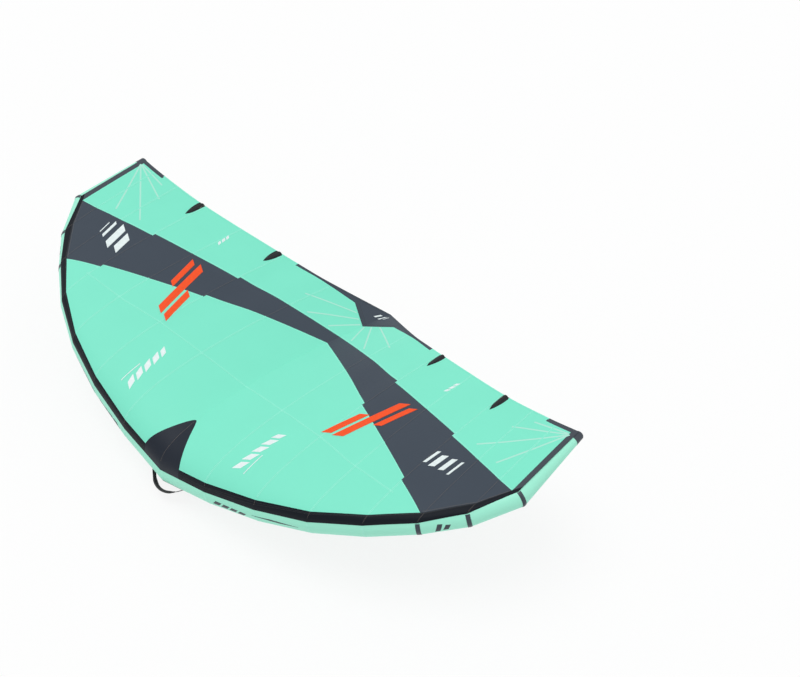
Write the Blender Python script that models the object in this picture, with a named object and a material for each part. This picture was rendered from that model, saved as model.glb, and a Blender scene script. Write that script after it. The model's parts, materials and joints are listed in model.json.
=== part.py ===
"""A hand-held inflatable wing for foil boarding, modelled as the pieces it is sewn and welded from.

Metres, +Z up. The wing flies towards -Y: the inflated leading edge sweeps back and up from the nose, the
strut runs aft under the canopy's centre line, and the rider's straps hang under the strut. Everything is
drawn in a frame whose origin is the centre of the leading edge at the nose, and one empty carries it all.
The last step stands that empty so that the world origin is at the bottom centre of the whole wing.
"""

import math

import bmesh
import bpy
from mathutils import Matrix, Vector

# Leading edge: one bent tube from tip to tip, drawn through its sewn seams
HALF_SPAN = 1.690  # nose to the tube's tip, across
TIP_SWEEP = 1.244  # how far the tip end of the tube lies aft of the nose
TIP_RISE = 0.565  # and above it
NOSE_TUBE_DIAMETER = 0.231
SEAM_SPAN_SHARES = (0.0, 0.186, 0.366, 0.531, 0.677, 0.805, 0.911, 0.997, 1.0)
SEAM_SWEEP_SHARES = (0.0, 0.0179, 0.0526, 0.1151, 0.2024, 0.3125, 0.4325, 0.6001, 1.0)
SEAM_RISE_SHARES = (0.0, 0.118, 0.249, 0.383, 0.515, 0.617, 0.730, 0.872, 1.0)
SEAM_GIRTH_SHARES = (1.0, 0.958, 0.893, 0.842, 0.747, 0.594, 0.497, 0.432, 0.216)
# Where the canopy is sewn to the tube, in degrees up from the tube's foremost line
SEWN_DEGREES = (18, 16, 19, 21, 28, 40, 61, 92, 96)
CORNER_SEAM = 7  # the seam where the leading edge turns into the wing tip
SLEEVE_WALL = 0.0012  # polyester cloth, drawn thicker than it is woven
BLADDER_WALL = 0.0010
BLADDER_END_SHARE = 0.5  # how far the bladder's round ends draw in
BAND_WIDTH = 0.022
BAND_WALL = 0.0008
BAND_SEAMS = (5, 6, 7)
BAND_HIDDEN_DEGREES = 150  # the inner side of the tube, where the canopy has left it
BAND_STOP_DEGREES = 5  # short of the canopy's seam
CAP_LENGTH = 0.050
CAP_DOME = 0.016
CAP_STEP_SHARES = (0.45, 0.8, 1.0)
CAP_ROUND_SHARE = 0.97

# Canopy: one curved surface, cut into panels
ROOT_CHORD = 1.901  # front seam at the nose to the trailing edge
TRAILING_ROOT_DROP = 0.007  # the trailing edge's middle below the nose's centre
TIP_LIFT = 0.0030  # the canopy's aft corner above the tube's end
TRAIL_SPAN_SHARES = (0.0, 0.218, 0.326, 0.391, 0.709, 0.889, 1.0)
TRAIL_SWEEP_SHARES = (0.0, 0.403, 0.523, 0.609, 0.882, 0.973, 1.0)
TRAIL_RISE_SHARES = (0.0, 0.318, 0.423, 0.503, 0.770, 0.916, 1.0)
CAMBER_SHARE = 0.23567  # height factor of the profile at the centre line, of the root chord
CAMBER_FADE = 1.2
NOSE_FULLNESS = 0.35
CLOTH = 0.0016  # canopy cloth, drawn thicker than it is woven
CLOTH_REST = 0.0025  # clearance where the cloth lies over the round tube
CLOTH_REST_RUN = 0.020
STRIP_WIDTH = 0.067
STRIP_WIDTH_SHARES = (1.0, 1.0, 1.0, 1.0, 1.0, 1.0, 1.05, 0.50)  # at each seam out to the corner
STRIP_STEP_SHARES = (0.0, 0.034, 0.22, 0.55, 1.0)
STRIP_MOST_SHARE = 0.15  # of the chord: the strip is never broader
STRIPE_FRONT_SHARES = (0.684, 0.4744, 0.3083, 0.252)  # of the root chord, at the stripe's seams
STRIPE_REAR_SHARES = (0.7436, 0.620, 0.5186)
STRIPE_SEAMS = (0, 2, 4, 5)
STRIPE_STEP = 0.022  # the sawtooth where two panels of the stripe meet
STEP_RUN_SHARE = 0.004
FAIRING_HALF_WIDTH = 0.134
FAIRING_LENGTH_SHARE = 0.1358  # of the root chord
FAIRING_POWER = 1.1
FAIRING_STEP_SHARES = (0.0, 0.004, 0.03, 0.12, 0.35, 0.65, 1.0)
PATCH_HALF_WIDTH = 0.161
PATCH_APEX_SHARE = 0.8548
PATCH_CORNER_SHARE = 0.910
TAPE_END_SPAN_SHARE = 0.326
TAPE_WIDTH = 0.028
TIP_TAPE_START_SHARE = 0.889
SIDE_STRIP_WIDTH = 0.030
SIDE_STRIP_STEP_SHARES = (0.0, 0.1234, 0.3039, 0.5148, 0.7482, 1.0)
# The seam counts that carry a row of points on every panel, beside those where panels meet
COLUMN_SEAMS = (0.0, 0.08, 0.17, 0.27, 0.35, 0.7, 1, 1.5, 2.5, 3, 3.5, 4.5, 5, 5.5, 6, 6.4)
FRONT_ROW_COUNT = 7
FRONT_ROW_POWER = 1.6  # crowds the front panel's rows to its front
STRIPE_ROW_COUNT = 3
STRIPE_ROW_POWER = 1.2
REAR_ROW_COUNT = 5
PATCH_ROW_COUNT = 2
BATTEN_SPAN_SHARES = {"inner": 0.391, "outer": 0.709}
POCKET_LENGTH = 0.150
POCKET_WIDTH = 0.044
POCKET_TIP_WIDTH = 0.010
POCKET_HEIGHT = 0.0060
POCKET_TIP_HEIGHT = 0.0030
POCKET_WALL = 0.0010
POCKET_REST = 0.00045  # clearance for the canopy's curve under a straight pocket
POCKET_STEP_SHARES = (0.0, 0.35, 0.7, 1.0)
POCKET_ROOM_SHARES = (0.0, 0.35, 0.72)
BATTEN_STEP_SHARES = (0.01, 0.35)
BATTEN_WIDTH = 0.012
BATTEN_THICK = 0.0020
BATTEN_LENGTH = 0.105

# Strut: a tapering inflated tube under the centre line
STRUT_LENGTH = 1.802
STRUT_DIAMETER = 0.200
STRUT_PLACE_SHARES = (0.089, 0.25, 0.527, 0.655, 0.755, 0.8435, 0.9157, 0.971, 0.993, 1.0)
STRUT_GIRTH_SHARES = (1.0, 0.985, 0.91, 0.86, 0.797, 0.68, 0.455, 0.29, 0.175, 0.04)
STRUT_AXIS_DROP = 0.010
STRUT_DROP_SHARES = (1.0, 0.95, 1.0, 0.95, 0.65, 0.85, 1.75, 2.4, 2.75, 2.75)
WEB_END_SHARE = 0.7534
WEB_START_GAP = 0.003
WEB_THICK = 0.0016
BLADDER_START = 0.205  # the strut's bladder begins behind the inflation hose
BLADDER_NOSE_SHARES = ((0.0, 0.70), (0.04, 0.88), (0.14, 1.0))  # places back and girths

# Straps under the strut
REAR_HANDLE_ENDS = (0.997, 1.3245)
FRONT_HANDLE_ENDS = (0.3101, 0.598)
HANDLE_DROP = 0.0615  # strut's underside to the middle of the grip
JUNCTION_DROP = 0.0185
WEBBING_WIDTH = 0.026
WEBBING_THICK = 0.0024
WEBBING_TAIL = 0.095
GRIP_WIDTH = 0.029
GRIP_THICK = 0.017
GRIP_END_THICK = 0.007
GRIP_TAPER_SHARE = 0.16
GRIP_SIDES = 12
GRIP_PIECES = 17  # along the grip: an odd count gives it a level middle
PATCH_WALL = 0.0010
PATCH_WRAP_DEGREES = 84
LOOP_SPANS = ((0.006, 0.028), (0.052, 0.075))
LOOP_WALL = 0.0012
HANDLE_PATCHES = {  # how far each patch reaches towards the grip and away from it
    "rear_handle_patch_aft": (-0.002, 0.146),
    "rear_handle_patch_fore": (0.083, 0.098),
    "front_handle_patch_aft": (-0.002, 0.160),
    "front_handle_patch_fore": (0.080, 0.098),
}

# Strap on the nose
NOSE_PATCH_HALF_WIDTH = 0.134
NOSE_PATCH_DEGREES = (-107, -33)
NOSE_PATCH_WALL = 0.0012
NOSE_STRAP_DEGREES = -56
NOSE_STRAP_WIDTH = 0.025
NOSE_STRAP_ROOT = 0.106
NOSE_STRAP_END = 0.162
NOSE_JUNCTION = 0.080
NOSE_JUNCTION_RISE = 0.019
NOSE_STRAP_RISE = 0.044
NOSE_STRAP_RISE_DEGREES = -43
NOSE_STRAP_BOW_POWER = 0.6
NOSE_GRIP_WIDTH = 0.029
NOSE_GRIP_THICK = 0.009
NOSE_GRIP_END_THICK = 0.005

# Inflation valve in the strut's left side, and the hose that feeds the leading edge
VALVE_PLACE = 0.446
VALVE_DEGREES = 9
VALVE_SOCKET_DIAMETER = 0.052
VALVE_SOCKET_WALL = 0.0038
VALVE_FLANGE_DIAMETER = 0.060
VALVE_FLANGE_DEPTH = 0.0080  # sunk below the sleeve, where the round bladder allows a flat disc
VALVE_FLANGE_THICK = 0.0015
VALVE_PROUD = 0.0032
VALVE_CORE_WALL = 0.0034
VALVE_CORE_FLOOR = 0.0015
VALVE_CORE_DEPTH = 0.0060
VALVE_PORTS = 5
VALVE_STEM_DIAMETER = 0.0056
VALVE_SEAL_DIAMETER = 0.038
VALVE_BUTTON_DIAMETER = 0.011
VALVE_SPRING_WIRE = 0.0006
VALVE_SPRING_TURNS = 3
VALVE_CAP_DIAMETER = 0.058
VALVE_CAP_HEIGHT = 0.0072
VALVE_CAP_RECESS = 0.0035
VALVE_CAP_DISH_SHARES = (0.72, 0.68)  # of the cap's radius: the dish in its top
VALVE_CAP_CHAMFER_SHARE = 0.05
VALVE_TETHER_THICK = 0.0014
VALVE_HINGE_REACH = 0.034
VALVE_TAB_WIDTH = 0.012
HOSE_ASIDE = 0.045  # the hose lies beside the centre line, clear of the sleeves' middle seam
PORT_FLANGE_DIAMETER = 0.040
PORT_FLANGE_THICK = 0.0015
PORT_BARB_DIAMETER = 0.014
PORT_BARB_WALL = 0.0020
PORT_BARB_LENGTH = 0.026
HOSE_WALL = 0.0022
HOSE_END_GAP = 0.004
CLAMP_WIDTH = 0.008
CLAMP_WALL = 0.0010

GAP = 0.0003  # between pieces that touch
WELD = 0.00001
OVERRUN = 0.010  # how far a cutter passes what it cuts
TUBE_SIDES = 36
BLADDER_SIDES = 12
FACET = 360 / TUBE_SIDES
NOSE_RADIUS = NOSE_TUBE_DIAMETER / 2
LAST_SEAM = len(SEAM_SPAN_SHARES) - 1
UP = Vector((0, 0, 1))


# Scene, materials and mesh helpers


def clear_scene():
    for obj in list(bpy.data.objects):
        bpy.data.objects.remove(obj)


def linear(hex_colour):
    """The linear colour of an sRGB hex value."""
    channels = [int(hex_colour[i : i + 2], 16) / 255 for i in (0, 2, 4)]
    return [c / 12.92 if c <= 0.04045 else ((c + 0.055) / 1.055) ** 2.4 for c in channels]


def material(name, hex_colour, roughness, metallic=0.0):
    made = bpy.data.materials.get(name)
    if made is None:
        made = bpy.data.materials.new(name)
        made.use_nodes = True
        shader = made.node_tree.nodes["Principled BSDF"]
        shader.inputs["Base Color"].default_value = (*linear(hex_colour), 1)
        shader.inputs["Roughness"].default_value = roughness
        shader.inputs["Metallic"].default_value = metallic
        made.diffuse_color = (*linear(hex_colour), 1)
    return made


def canopy_cloth():
    return material("canopy_cloth", "83ECD1", 0.55)


def stripe_cloth():
    return material("stripe_cloth", "4A535E", 0.6)


def edge_cloth():
    return material("edge_cloth", "222830", 0.6)


def sleeve_cloth():
    return material("sleeve_cloth", "9EEBD1", 0.6)


def bladder_film():
    return material("bladder_film", "D8DEDC", 0.35)


def webbing():
    return material("webbing", "1C1C1C", 0.75)


def moulded_plastic():
    return material("moulded_plastic", "17181A", 0.4)


def batten_rod():
    return material("batten_rod", "D9D2B8", 0.35)


def spring_steel():
    return material("spring_steel", "B8BABC", 0.3, 1.0)


def hose_rubber():
    return material("hose_rubber", "C9D3D6", 0.45)


def add_object(name, bm, finish, parent, smooth_degrees=35):
    mesh = bpy.data.meshes.new(name)
    bm.to_mesh(mesh)
    bm.free()
    mesh.shade_smooth()
    mesh.set_sharp_from_angle(angle=math.radians(smooth_degrees))
    mesh.materials.append(finish)
    obj = bpy.data.objects.new(name, mesh)
    bpy.context.scene.collection.objects.link(obj)
    obj.parent = parent
    return obj


def add_empty(name, place, parent=None, turn=None):
    empty = bpy.data.objects.new(name, None)
    bpy.context.scene.collection.objects.link(empty)
    empty.parent = parent
    empty.location = place
    if turn is not None:
        empty.rotation_euler = turn.to_euler()
    return empty


def skinned(rows, wrap=False, mirrored=False, start_cap=False, end_cap=False):
    """A bmesh skin through rows of points. wrap closes each row; the caps close the ends."""
    bm = bmesh.new()
    made = add_skin(bm, rows, mirrored, wrap)
    if start_cap:
        bm.faces.new(made[0] if not mirrored else made[0][::-1])
    if end_cap:
        bm.faces.new(made[-1][::-1] if not mirrored else made[-1])
    return bm


def add_skin(bm, rows, mirrored=False, wrap=False):
    if mirrored:
        rows = [[Vector((-p.x, p.y, p.z)) for p in row] for row in rows]
    made = [[bm.verts.new(p) for p in row] for row in rows]
    steps = len(rows[0]) if wrap else len(rows[0]) - 1
    for row, following in zip(made, made[1:]):
        for j in range(steps):
            k = (j + 1) % len(row)
            corners = (row[j], following[j], following[k], row[k])
            bm.faces.new(corners[::-1] if mirrored else corners)
    return made


def solid_skin(rows, mirrored=False):
    """A closed solid through closed rings of points, capped at both ends and facing out."""
    bm = skinned(rows, wrap=True, mirrored=mirrored, start_cap=True, end_cap=True)
    bmesh.ops.recalc_face_normals(bm, faces=bm.faces)
    return bm


def thicken(obj, thickness, offset):
    """A Solidify: offset 1 grows along the normals, -1 against them, 0 both ways."""
    solid = obj.modifiers.new("thickness", "SOLIDIFY")
    solid.thickness = thickness
    solid.offset = offset
    return obj


def combine(obj, other, operation):
    """A Boolean with another object, which then only guides."""
    boolean = obj.modifiers.new(operation.lower(), "BOOLEAN")
    boolean.operation = operation
    boolean.object = other
    boolean.solver = "EXACT"
    other.hide_render = True
    other.display_type = "WIRE"
    return obj


def turned(profile, steps):
    """A solid of revolution about Z: profile is a closed loop of (radius, height) points."""
    bm = bmesh.new()
    points = [bm.verts.new((radius, 0, height)) for radius, height in profile]
    edges = [bm.edges.new((a, b)) for a, b in zip(points, points[1:] + points[:1])]
    bmesh.ops.spin(
        bm,
        geom=points + edges,
        cent=(0, 0, 0),
        axis=(0, 0, 1),
        angle=math.tau,
        steps=steps,
        use_merge=True,
    )
    bmesh.ops.remove_doubles(bm, verts=bm.verts, dist=WELD)
    loose = [edge for edge in bm.edges if not edge.link_faces]
    bmesh.ops.delete(bm, geom=loose, context="EDGES")
    bmesh.ops.recalc_face_normals(bm, faces=bm.faces)
    return bm


def rod(radius, low, high, steps):
    return turned(((0, low), (radius, low), (radius, high), (0, high)), steps)


def ring(inner, outer, low, high, steps):
    return turned(((inner, low), (outer, low), (outer, high), (inner, high)), steps)


def lerp(a, b, share):
    return a + (b - a) * share


def piecewise(places, values, place):
    """Straight-line reading of a table at a place inside it, or at its nearer end."""
    if place <= places[0]:
        return values[0]
    for a, b, low, high in zip(places, places[1:], values, values[1:]):
        if place <= b:
            return lerp(low, high, (place - a) / (b - a))
    return values[-1]


def smooth(places, values, place):
    """Smooth reading of a table, with slopes taken from the neighbours."""
    slopes = [(values[1] - values[0]) / (places[1] - places[0])]
    for i in range(1, len(places) - 1):
        slopes.append((values[i + 1] - values[i - 1]) / (places[i + 1] - places[i - 1]))
    slopes.append((values[-1] - values[-2]) / (places[-1] - places[-2]))
    place = min(max(place, places[0]), places[-1])
    i = next(i for i in range(len(places) - 1) if place <= places[i + 1])
    step = places[i + 1] - places[i]
    t = (place - places[i]) / step
    rise = values[i + 1] - values[i]
    bend_a = slopes[i] * step - rise
    bend_b = rise - slopes[i + 1] * step
    return lerp(values[i], values[i + 1], t) + t * (1 - t) * (bend_a * (1 - t) + bend_b * t)


# The leading edge tube's shape


def seam_centre(k):
    return Vector(
        (
            HALF_SPAN * SEAM_SPAN_SHARES[k],
            TIP_SWEEP * SEAM_SWEEP_SHARES[k],
            TIP_RISE * SEAM_RISE_SHARES[k],
        )
    )


def seam_radius(k):
    return NOSE_RADIUS * SEAM_GIRTH_SHARES[k]


def seam_directions(k):
    """Along the tube, forward out of it and up, at a seam that splits the bend evenly."""
    if k == 0:
        along = Vector((1, 0, 0))
    else:
        along = (seam_centre(k) - seam_centre(k - 1)).normalized()
        if k < LAST_SEAM:
            along += (seam_centre(k + 1) - seam_centre(k)).normalized()
        along.normalize()
    forward = along.cross(UP).normalized()
    return along, forward, forward.cross(along)


def seam_point(k, degrees, extra=0.0):
    _, forward, up = seam_directions(k)
    angle = math.radians(degrees)
    outward = forward * math.cos(angle) + up * math.sin(angle)
    return seam_centre(k) + outward * (seam_radius(k) + extra)


def on_facet(point_at, degrees):
    """A point on the flat between two corners of the faceted tube."""
    low = math.floor(degrees / FACET) * FACET
    return point_at(low).lerp(point_at(low + FACET), (degrees - low) / FACET)


def arc_corners(start, stop):
    """The angles of an arc that lies on the facets: its ends, and each corner between."""
    first, last = math.floor(start / FACET) + 1, math.ceil(stop / FACET)
    return [start] + [FACET * j for j in range(first, last)] + [stop]


def tube_point(q, degrees, extra=0.0):
    """A point of the ruled tube: q counts seams from the nose, and negative q is the left side."""
    k = min(int(abs(q)), LAST_SEAM - 1)

    def point_at(angle):
        return seam_point(k, angle, extra).lerp(seam_point(k + 1, angle, extra), abs(q) - k)

    point = on_facet(point_at, degrees)
    if q < 0:
        point.x = -point.x
    return point


def tube_ring(q, extra, sides):
    return [tube_point(q, 360 * j / sides, extra) for j in range(sides)]


def tube_arc(q, extra, start, stop):
    return [tube_point(q, degrees, extra) for degrees in arc_corners(start, stop)]


def tube_length(k):
    return (seam_centre(k + 1) - seam_centre(k)).length


def tube_axis_place(point):
    """The nearest place on the tube's axis: its centre, and the tube's radius there."""
    best = None
    for k in range(LAST_SEAM):
        start = seam_centre(k)
        run = seam_centre(k + 1) - start
        share = min(max((point - start).dot(run) / run.length_squared, 0), 1)
        centre = start + run * share
        radius = lerp(seam_radius(k), seam_radius(k + 1), share)
        depth = (point - centre).length - radius
        if best is None or depth < best[0]:
            best = (depth, centre, radius)
    return best


# The canopy's shape


def sewn_point(q):
    k = min(int(q), LAST_SEAM - 1)
    degrees = lerp(SEWN_DEGREES[k], SEWN_DEGREES[k + 1], q - k)
    lift = GAP + max(q - CORNER_SEAM, 0) * TIP_LIFT
    return tube_point(q, degrees, lift)


def span_share(q):
    return sewn_point(q).x / sewn_point(CORNER_SEAM).x


def trailing_point(share):
    corner = sewn_point(LAST_SEAM)
    root_back = sewn_point(0).y + ROOT_CHORD
    back = lerp(root_back, corner.y, smooth(TRAIL_SPAN_SHARES, TRAIL_SWEEP_SHARES, share))
    height = lerp(
        -TRAILING_ROOT_DROP, corner.z, smooth(TRAIL_SPAN_SHARES, TRAIL_RISE_SHARES, share)
    )
    return Vector((share * corner.x, back, height))


def underside(q, u):
    """The canopy's underside at seam count q across and chord share u, kept clear of the tube."""
    front = sewn_point(q)
    share = span_share(q)
    point = front.lerp(trailing_point(share), u)
    fade = 1 - min(share, 1) ** CAMBER_FADE
    point.z += ROOT_CHORD * CAMBER_SHARE * fade * u**NOSE_FULLNESS * (1 - u)
    for _ in range(2):
        run = min((point - front).length / CLOTH_REST_RUN, 1)
        depth, centre, radius = tube_axis_place(point)
        wanted = lerp(GAP, CLOTH_REST, run)
        if u > 0 and depth < wanted:
            point = centre + (point - centre).normalized() * (radius + wanted)
    return point


def chord_share(q, back):
    """The chord share of a place so far back along Y."""
    front = sewn_point(q).y
    return (back - front) / (trailing_point(span_share(q)).y - front)


def gap_share(q):
    return GAP / 2 / (trailing_point(span_share(q)).y - sewn_point(q).y)


def surface_normal(q, u):
    step = 0.01
    across = underside(q + step, u) - underside(max(q - step, 0), u)
    along = underside(q, min(u + step, 1)) - underside(q, max(u - step, 0))
    return across.cross(along).normalized()


def seams_at_span(share):
    """The seam count q whose front seam lies at a share of the half span."""
    low, high = 0.0, float(CORNER_SEAM)
    for _ in range(30):
        middle = (low + high) / 2
        if span_share(middle) < share:
            low = middle
        else:
            high = middle
    return (low + high) / 2


def strip_share(q):
    """Where the dark front strip ends, measured along the cloth."""
    k = min(int(q), CORNER_SEAM - 1)
    width = STRIP_WIDTH * lerp(STRIP_WIDTH_SHARES[k], STRIP_WIDTH_SHARES[k + 1], q - k)
    low, high = 0.0, STRIP_MOST_SHARE
    for _ in range(18):
        middle = (low + high) / 2
        steps = [underside(q, middle * s) for s in STRIP_STEP_SHARES]
        length = sum((b - a).length for a, b in zip(steps, steps[1:]))
        if length < width:
            low = middle
        else:
            high = middle
    return (low + high) / 2


def root_share_place(share):
    return sewn_point(0).y + share * ROOT_CHORD


def stripe_edge(q, shares, last):
    """Place back of the stripe's front or rear edge: straight runs with a sawtooth at each seam.

    last is the run's end at the last seam, as a place back, or None where the table gives it.
    """
    places = [root_share_place(share) for share in shares]
    seams = list(STRIPE_SEAMS[: len(places)])
    if last is not None:
        seams.append(last[0])
        places.append(last[1])
    x = sewn_point(q).x
    for i in range(len(seams) - 1):
        if q <= seams[i + 1] or i == len(seams) - 2:
            start, end = sewn_point(seams[i]).x, sewn_point(seams[i + 1]).x
            low = places[i] - (STRIPE_STEP / 2 if i else 0)
            high = places[i + 1] + (STRIPE_STEP / 2 if i < len(seams) - 2 else 0)
            return lerp(low, high, (x - start) / (end - start))
    return places[-1]


class Panels:
    """The seam counts and chord shares where the canopy's panels meet."""

    def __init__(self):
        corner_x = sewn_point(CORNER_SEAM).x
        self.side = seams_at_span(1 - SIDE_STRIP_WIDTH / corner_x)
        self.fairing = FAIRING_HALF_WIDTH / sewn_point(1).x
        self.patch = PATCH_HALF_WIDTH / sewn_point(1).x
        self.tape_end = seams_at_span(TAPE_END_SPAN_SHARE)
        self.tip_tape = seams_at_span(TIP_TAPE_START_SHARE)
        side_strip = underside(self.side, strip_share(self.side))
        self.stripe_corner = (self.side, side_strip.y)
        self.front_end = self.taper_end(self.stripe_front, strip_share, 4.0)
        self.stripe_end = self.taper_end(self.stripe_rear, strip_share, 6.0)

    def stripe_front(self, q):
        return chord_share(q, stripe_edge(q, STRIPE_FRONT_SHARES, None))

    def stripe_rear(self, q):
        return chord_share(q, stripe_edge(q, STRIPE_REAR_SHARES, self.stripe_corner))

    def taper_end(self, upper, lower, start):
        """Where a panel that narrows to a point is cut off, one strip step wide."""
        low, high = start, self.side
        for _ in range(20):
            middle = (low + high) / 2
            chord = trailing_point(span_share(middle)).y - sewn_point(middle).y
            if (upper(middle) - lower(middle)) * chord > STRIPE_STEP / 3:
                low = middle
            else:
                high = middle
        return (low + high) / 2

    def front_lower(self, q):
        """The front panel's edge keeps a wider gap behind the fairing, whose edge is oblique."""
        if q <= self.fairing:
            return self.fairing_edge(q) + 3 * gap_share(q)
        return strip_share(q)

    def stripe_lower(self, q):
        return self.stripe_front(q) if q <= self.front_end else strip_share(q)

    def rear_lower(self, q):
        return self.stripe_rear(q) if q <= self.stripe_end else strip_share(q)

    def fairing_edge(self, q):
        """The nose fairing's rear edge: a pointed fin in plan."""
        base = strip_share(self.fairing)
        base_y = underside(self.fairing, base).y
        tip_y = root_share_place(FAIRING_LENGTH_SHARE)
        along = min(q / self.fairing, 1) ** FAIRING_POWER
        return max(chord_share(q, lerp(tip_y, base_y, along)), strip_share(q))

    def trailing_edge(self, q):
        """Where the rear panel stops: at the patch, at a tape, or at the bare trailing edge."""
        back = trailing_point(span_share(q)).y
        taper_from = root_share_place(PATCH_CORNER_SHARE)
        x = sewn_point(q).x
        if q <= self.patch:
            apex = root_share_place(PATCH_APEX_SHARE)
            return chord_share(q, lerp(apex, taper_from, q / self.patch))
        if q <= self.tape_end:
            tape_end = trailing_point(TAPE_END_SPAN_SHARE)
            share = (x - PATCH_HALF_WIDTH) / (tape_end.x - PATCH_HALF_WIDTH)
            return chord_share(q, lerp(taper_from, tape_end.y - TAPE_WIDTH, share))
        if q >= self.tip_tape:
            return chord_share(q, back - TAPE_WIDTH)
        return 1.0

    def columns(self, start, stop):
        """The seam counts that carry a row of points: every panel between uses the same ones."""
        fixed = list(COLUMN_SEAMS)
        fixed += [self.fairing, self.patch, self.side, (self.side + CORNER_SEAM) / 2]
        fixed.append(CORNER_SEAM)
        for jump in (*STRIPE_SEAMS[1:-1], self.front_end, self.stripe_end):
            fixed += [jump - STEP_RUN_SHARE, jump, jump + STEP_RUN_SHARE]
        for jump in (self.tape_end, self.tip_tape):
            fixed += [jump, jump + STEP_RUN_SHARE]
        inside = sorted(q for q in fixed if start < q < stop)
        return [start] + inside + [stop]


def panel_rows(panels, start, stop, lower, upper, rows, nose_power=1.0):
    """Rows of points of a panel between two chord shares; nose_power crowds them to the front."""
    grid = []
    for q in panels.columns(start, stop):
        low, high = lower(q), upper(q)
        grid.append([underside(q, lerp(low, high, (j / rows) ** nose_power)) for j in range(rows + 1)])
    return grid


def centre_gap(grid):
    """Draws a panel's inner edge back from the centre line, so that the two sides stay apart.

    Where the cloth rises outwards, its thickness leans in, and the edge is drawn back by that too.
    """
    for point, outer in zip(*grid[:2]):
        slope = outer - point
        point.x += GAP + CLOTH * max(slope.z, 0) / slope.length
    return grid


def draw_in(grid, end, inner, gap=GAP):
    """Draws one end column of a panel in towards its neighbour."""
    pairs = zip(grid[end], grid[inner])
    grid[end] = [point + (other - point).normalized() * gap for point, other in pairs]
    return grid


def canopy_panel(name, grid, finish, mirrored, parent):
    """A panel that follows the surface; the rows run aft and the columns out along the span."""
    obj = add_object(name, skinned(grid, mirrored=mirrored), finish, parent)
    return thicken(obj, CLOTH, 1)


def after(share):
    """A panel's front edge, half a gap behind the line that two panels share."""
    return lambda q: share(q) + gap_share(q)


def before(share, early=0.0):
    """A panel's rear edge, half a gap in front of that line. early brings a step in it forward."""
    return lambda q: share(q + early) - gap_share(q)


def back_edge(_):
    return 1.0


def build_canopy(parent, panels):
    for mirrored, hand in ((False, "right"), (True, "left")):
        build_leading_strip(f"leading_strip_{hand}", panels, mirrored, parent)
        build_side_strip(f"side_strip_{hand}", panels, mirrored, parent)
        edges = after(panels.front_lower), before(panels.stripe_front, STEP_RUN_SHARE / 2)
        grid = panel_rows(panels, 0, panels.front_end, *edges, FRONT_ROW_COUNT, FRONT_ROW_POWER)
        grid = draw_in(centre_gap(grid), -1, -2)
        canopy_panel(f"canopy_front_{hand}", grid, canopy_cloth(), mirrored, parent)
        edges = after(panels.stripe_lower), before(panels.stripe_rear, STEP_RUN_SHARE / 2)
        grid = panel_rows(panels, 0, panels.stripe_end, *edges, STRIPE_ROW_COUNT, STRIPE_ROW_POWER)
        grid = draw_in(centre_gap(grid), -1, -2)
        canopy_panel(f"canopy_stripe_{hand}", grid, stripe_cloth(), mirrored, parent)
        edges = after(panels.rear_lower), before(panels.trailing_edge)
        grid = panel_rows(panels, 0, panels.side, *edges, REAR_ROW_COUNT)
        grid = draw_in(centre_gap(grid), -1, -2)
        canopy_panel(f"canopy_rear_{hand}", grid, canopy_cloth(), mirrored, parent)
    build_fairing(panels, parent)
    edges = after(panels.trailing_edge), back_edge
    patch = panel_rows(panels, 0, panels.tape_end, *edges, PATCH_ROW_COUNT)
    both_sides_panel("trailing_patch", patch, stripe_cloth(), parent)


def build_leading_strip(name, panels, mirrored, parent):
    strip = []
    for q in panels.columns(panels.fairing, CORNER_SEAM):
        high = before(strip_share)(q)
        strip.append([underside(q, high * share) for share in STRIP_STEP_SHARES])
    canopy_panel(name, draw_in(strip, 0, 1, 3 * GAP), edge_cloth(), mirrored, parent)


def build_side_strip(name, panels, mirrored, parent):
    """The strip along the wing tip, in one piece with the tape on the trailing edge beside it."""
    corner = after(panels.trailing_edge)
    columns = panels.columns(panels.side, CORNER_SEAM)
    grid = []
    for q in columns:
        low = after(strip_share)(q)
        middle = [lerp(low, corner(panels.side), share) for share in SIDE_STRIP_STEP_SHARES]
        grid.append([underside(q, u) for u in middle + [1.0]])
    tape = panel_rows(panels, panels.tip_tape, panels.side, corner, back_edge, 1)
    bm = skinned(grid, mirrored=mirrored)
    add_skin(bm, draw_in(tape, 0, 1), mirrored)
    bmesh.ops.remove_doubles(bm, verts=bm.verts, dist=WELD)
    obj = add_object(name, bm, edge_cloth(), parent)
    thicken(obj, CLOTH, 1)


def build_fairing(panels, parent):
    whole = []
    for q in panels.columns(0, panels.fairing):
        high = before(panels.fairing_edge)(q)
        whole.append([underside(q, high * share) for share in FAIRING_STEP_SHARES])
    both_sides_panel("nose_fairing", whole, edge_cloth(), parent)


def both_sides_panel(name, grid, finish, parent):
    """A panel that crosses the centre line: the right half's rows, and their mirror images."""
    left = [[Vector((-p.x, p.y, p.z)) for p in row] for row in grid[:0:-1]]
    obj = add_object(name, skinned(left + grid), finish, parent)
    return thicken(obj, CLOTH, 1)


# Battens in their pockets on the trailing edge


def on_top(q, u, aside, lift):
    """A point above the canopy's outer face, aside from q by a length across the span."""
    reach = (sewn_point(q + 0.1).x - sewn_point(q - 0.1).x) / 0.2
    q += aside / reach
    return underside(q, u) + surface_normal(q, u) * (CLOTH + lift)


def pocket_ring(q, u, width, low, high):
    half = width / 2
    corners = ((-half, low), (half, low), (half, high), (-half, high))
    return [on_top(q, u, aside, lift) for aside, lift in corners]


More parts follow.
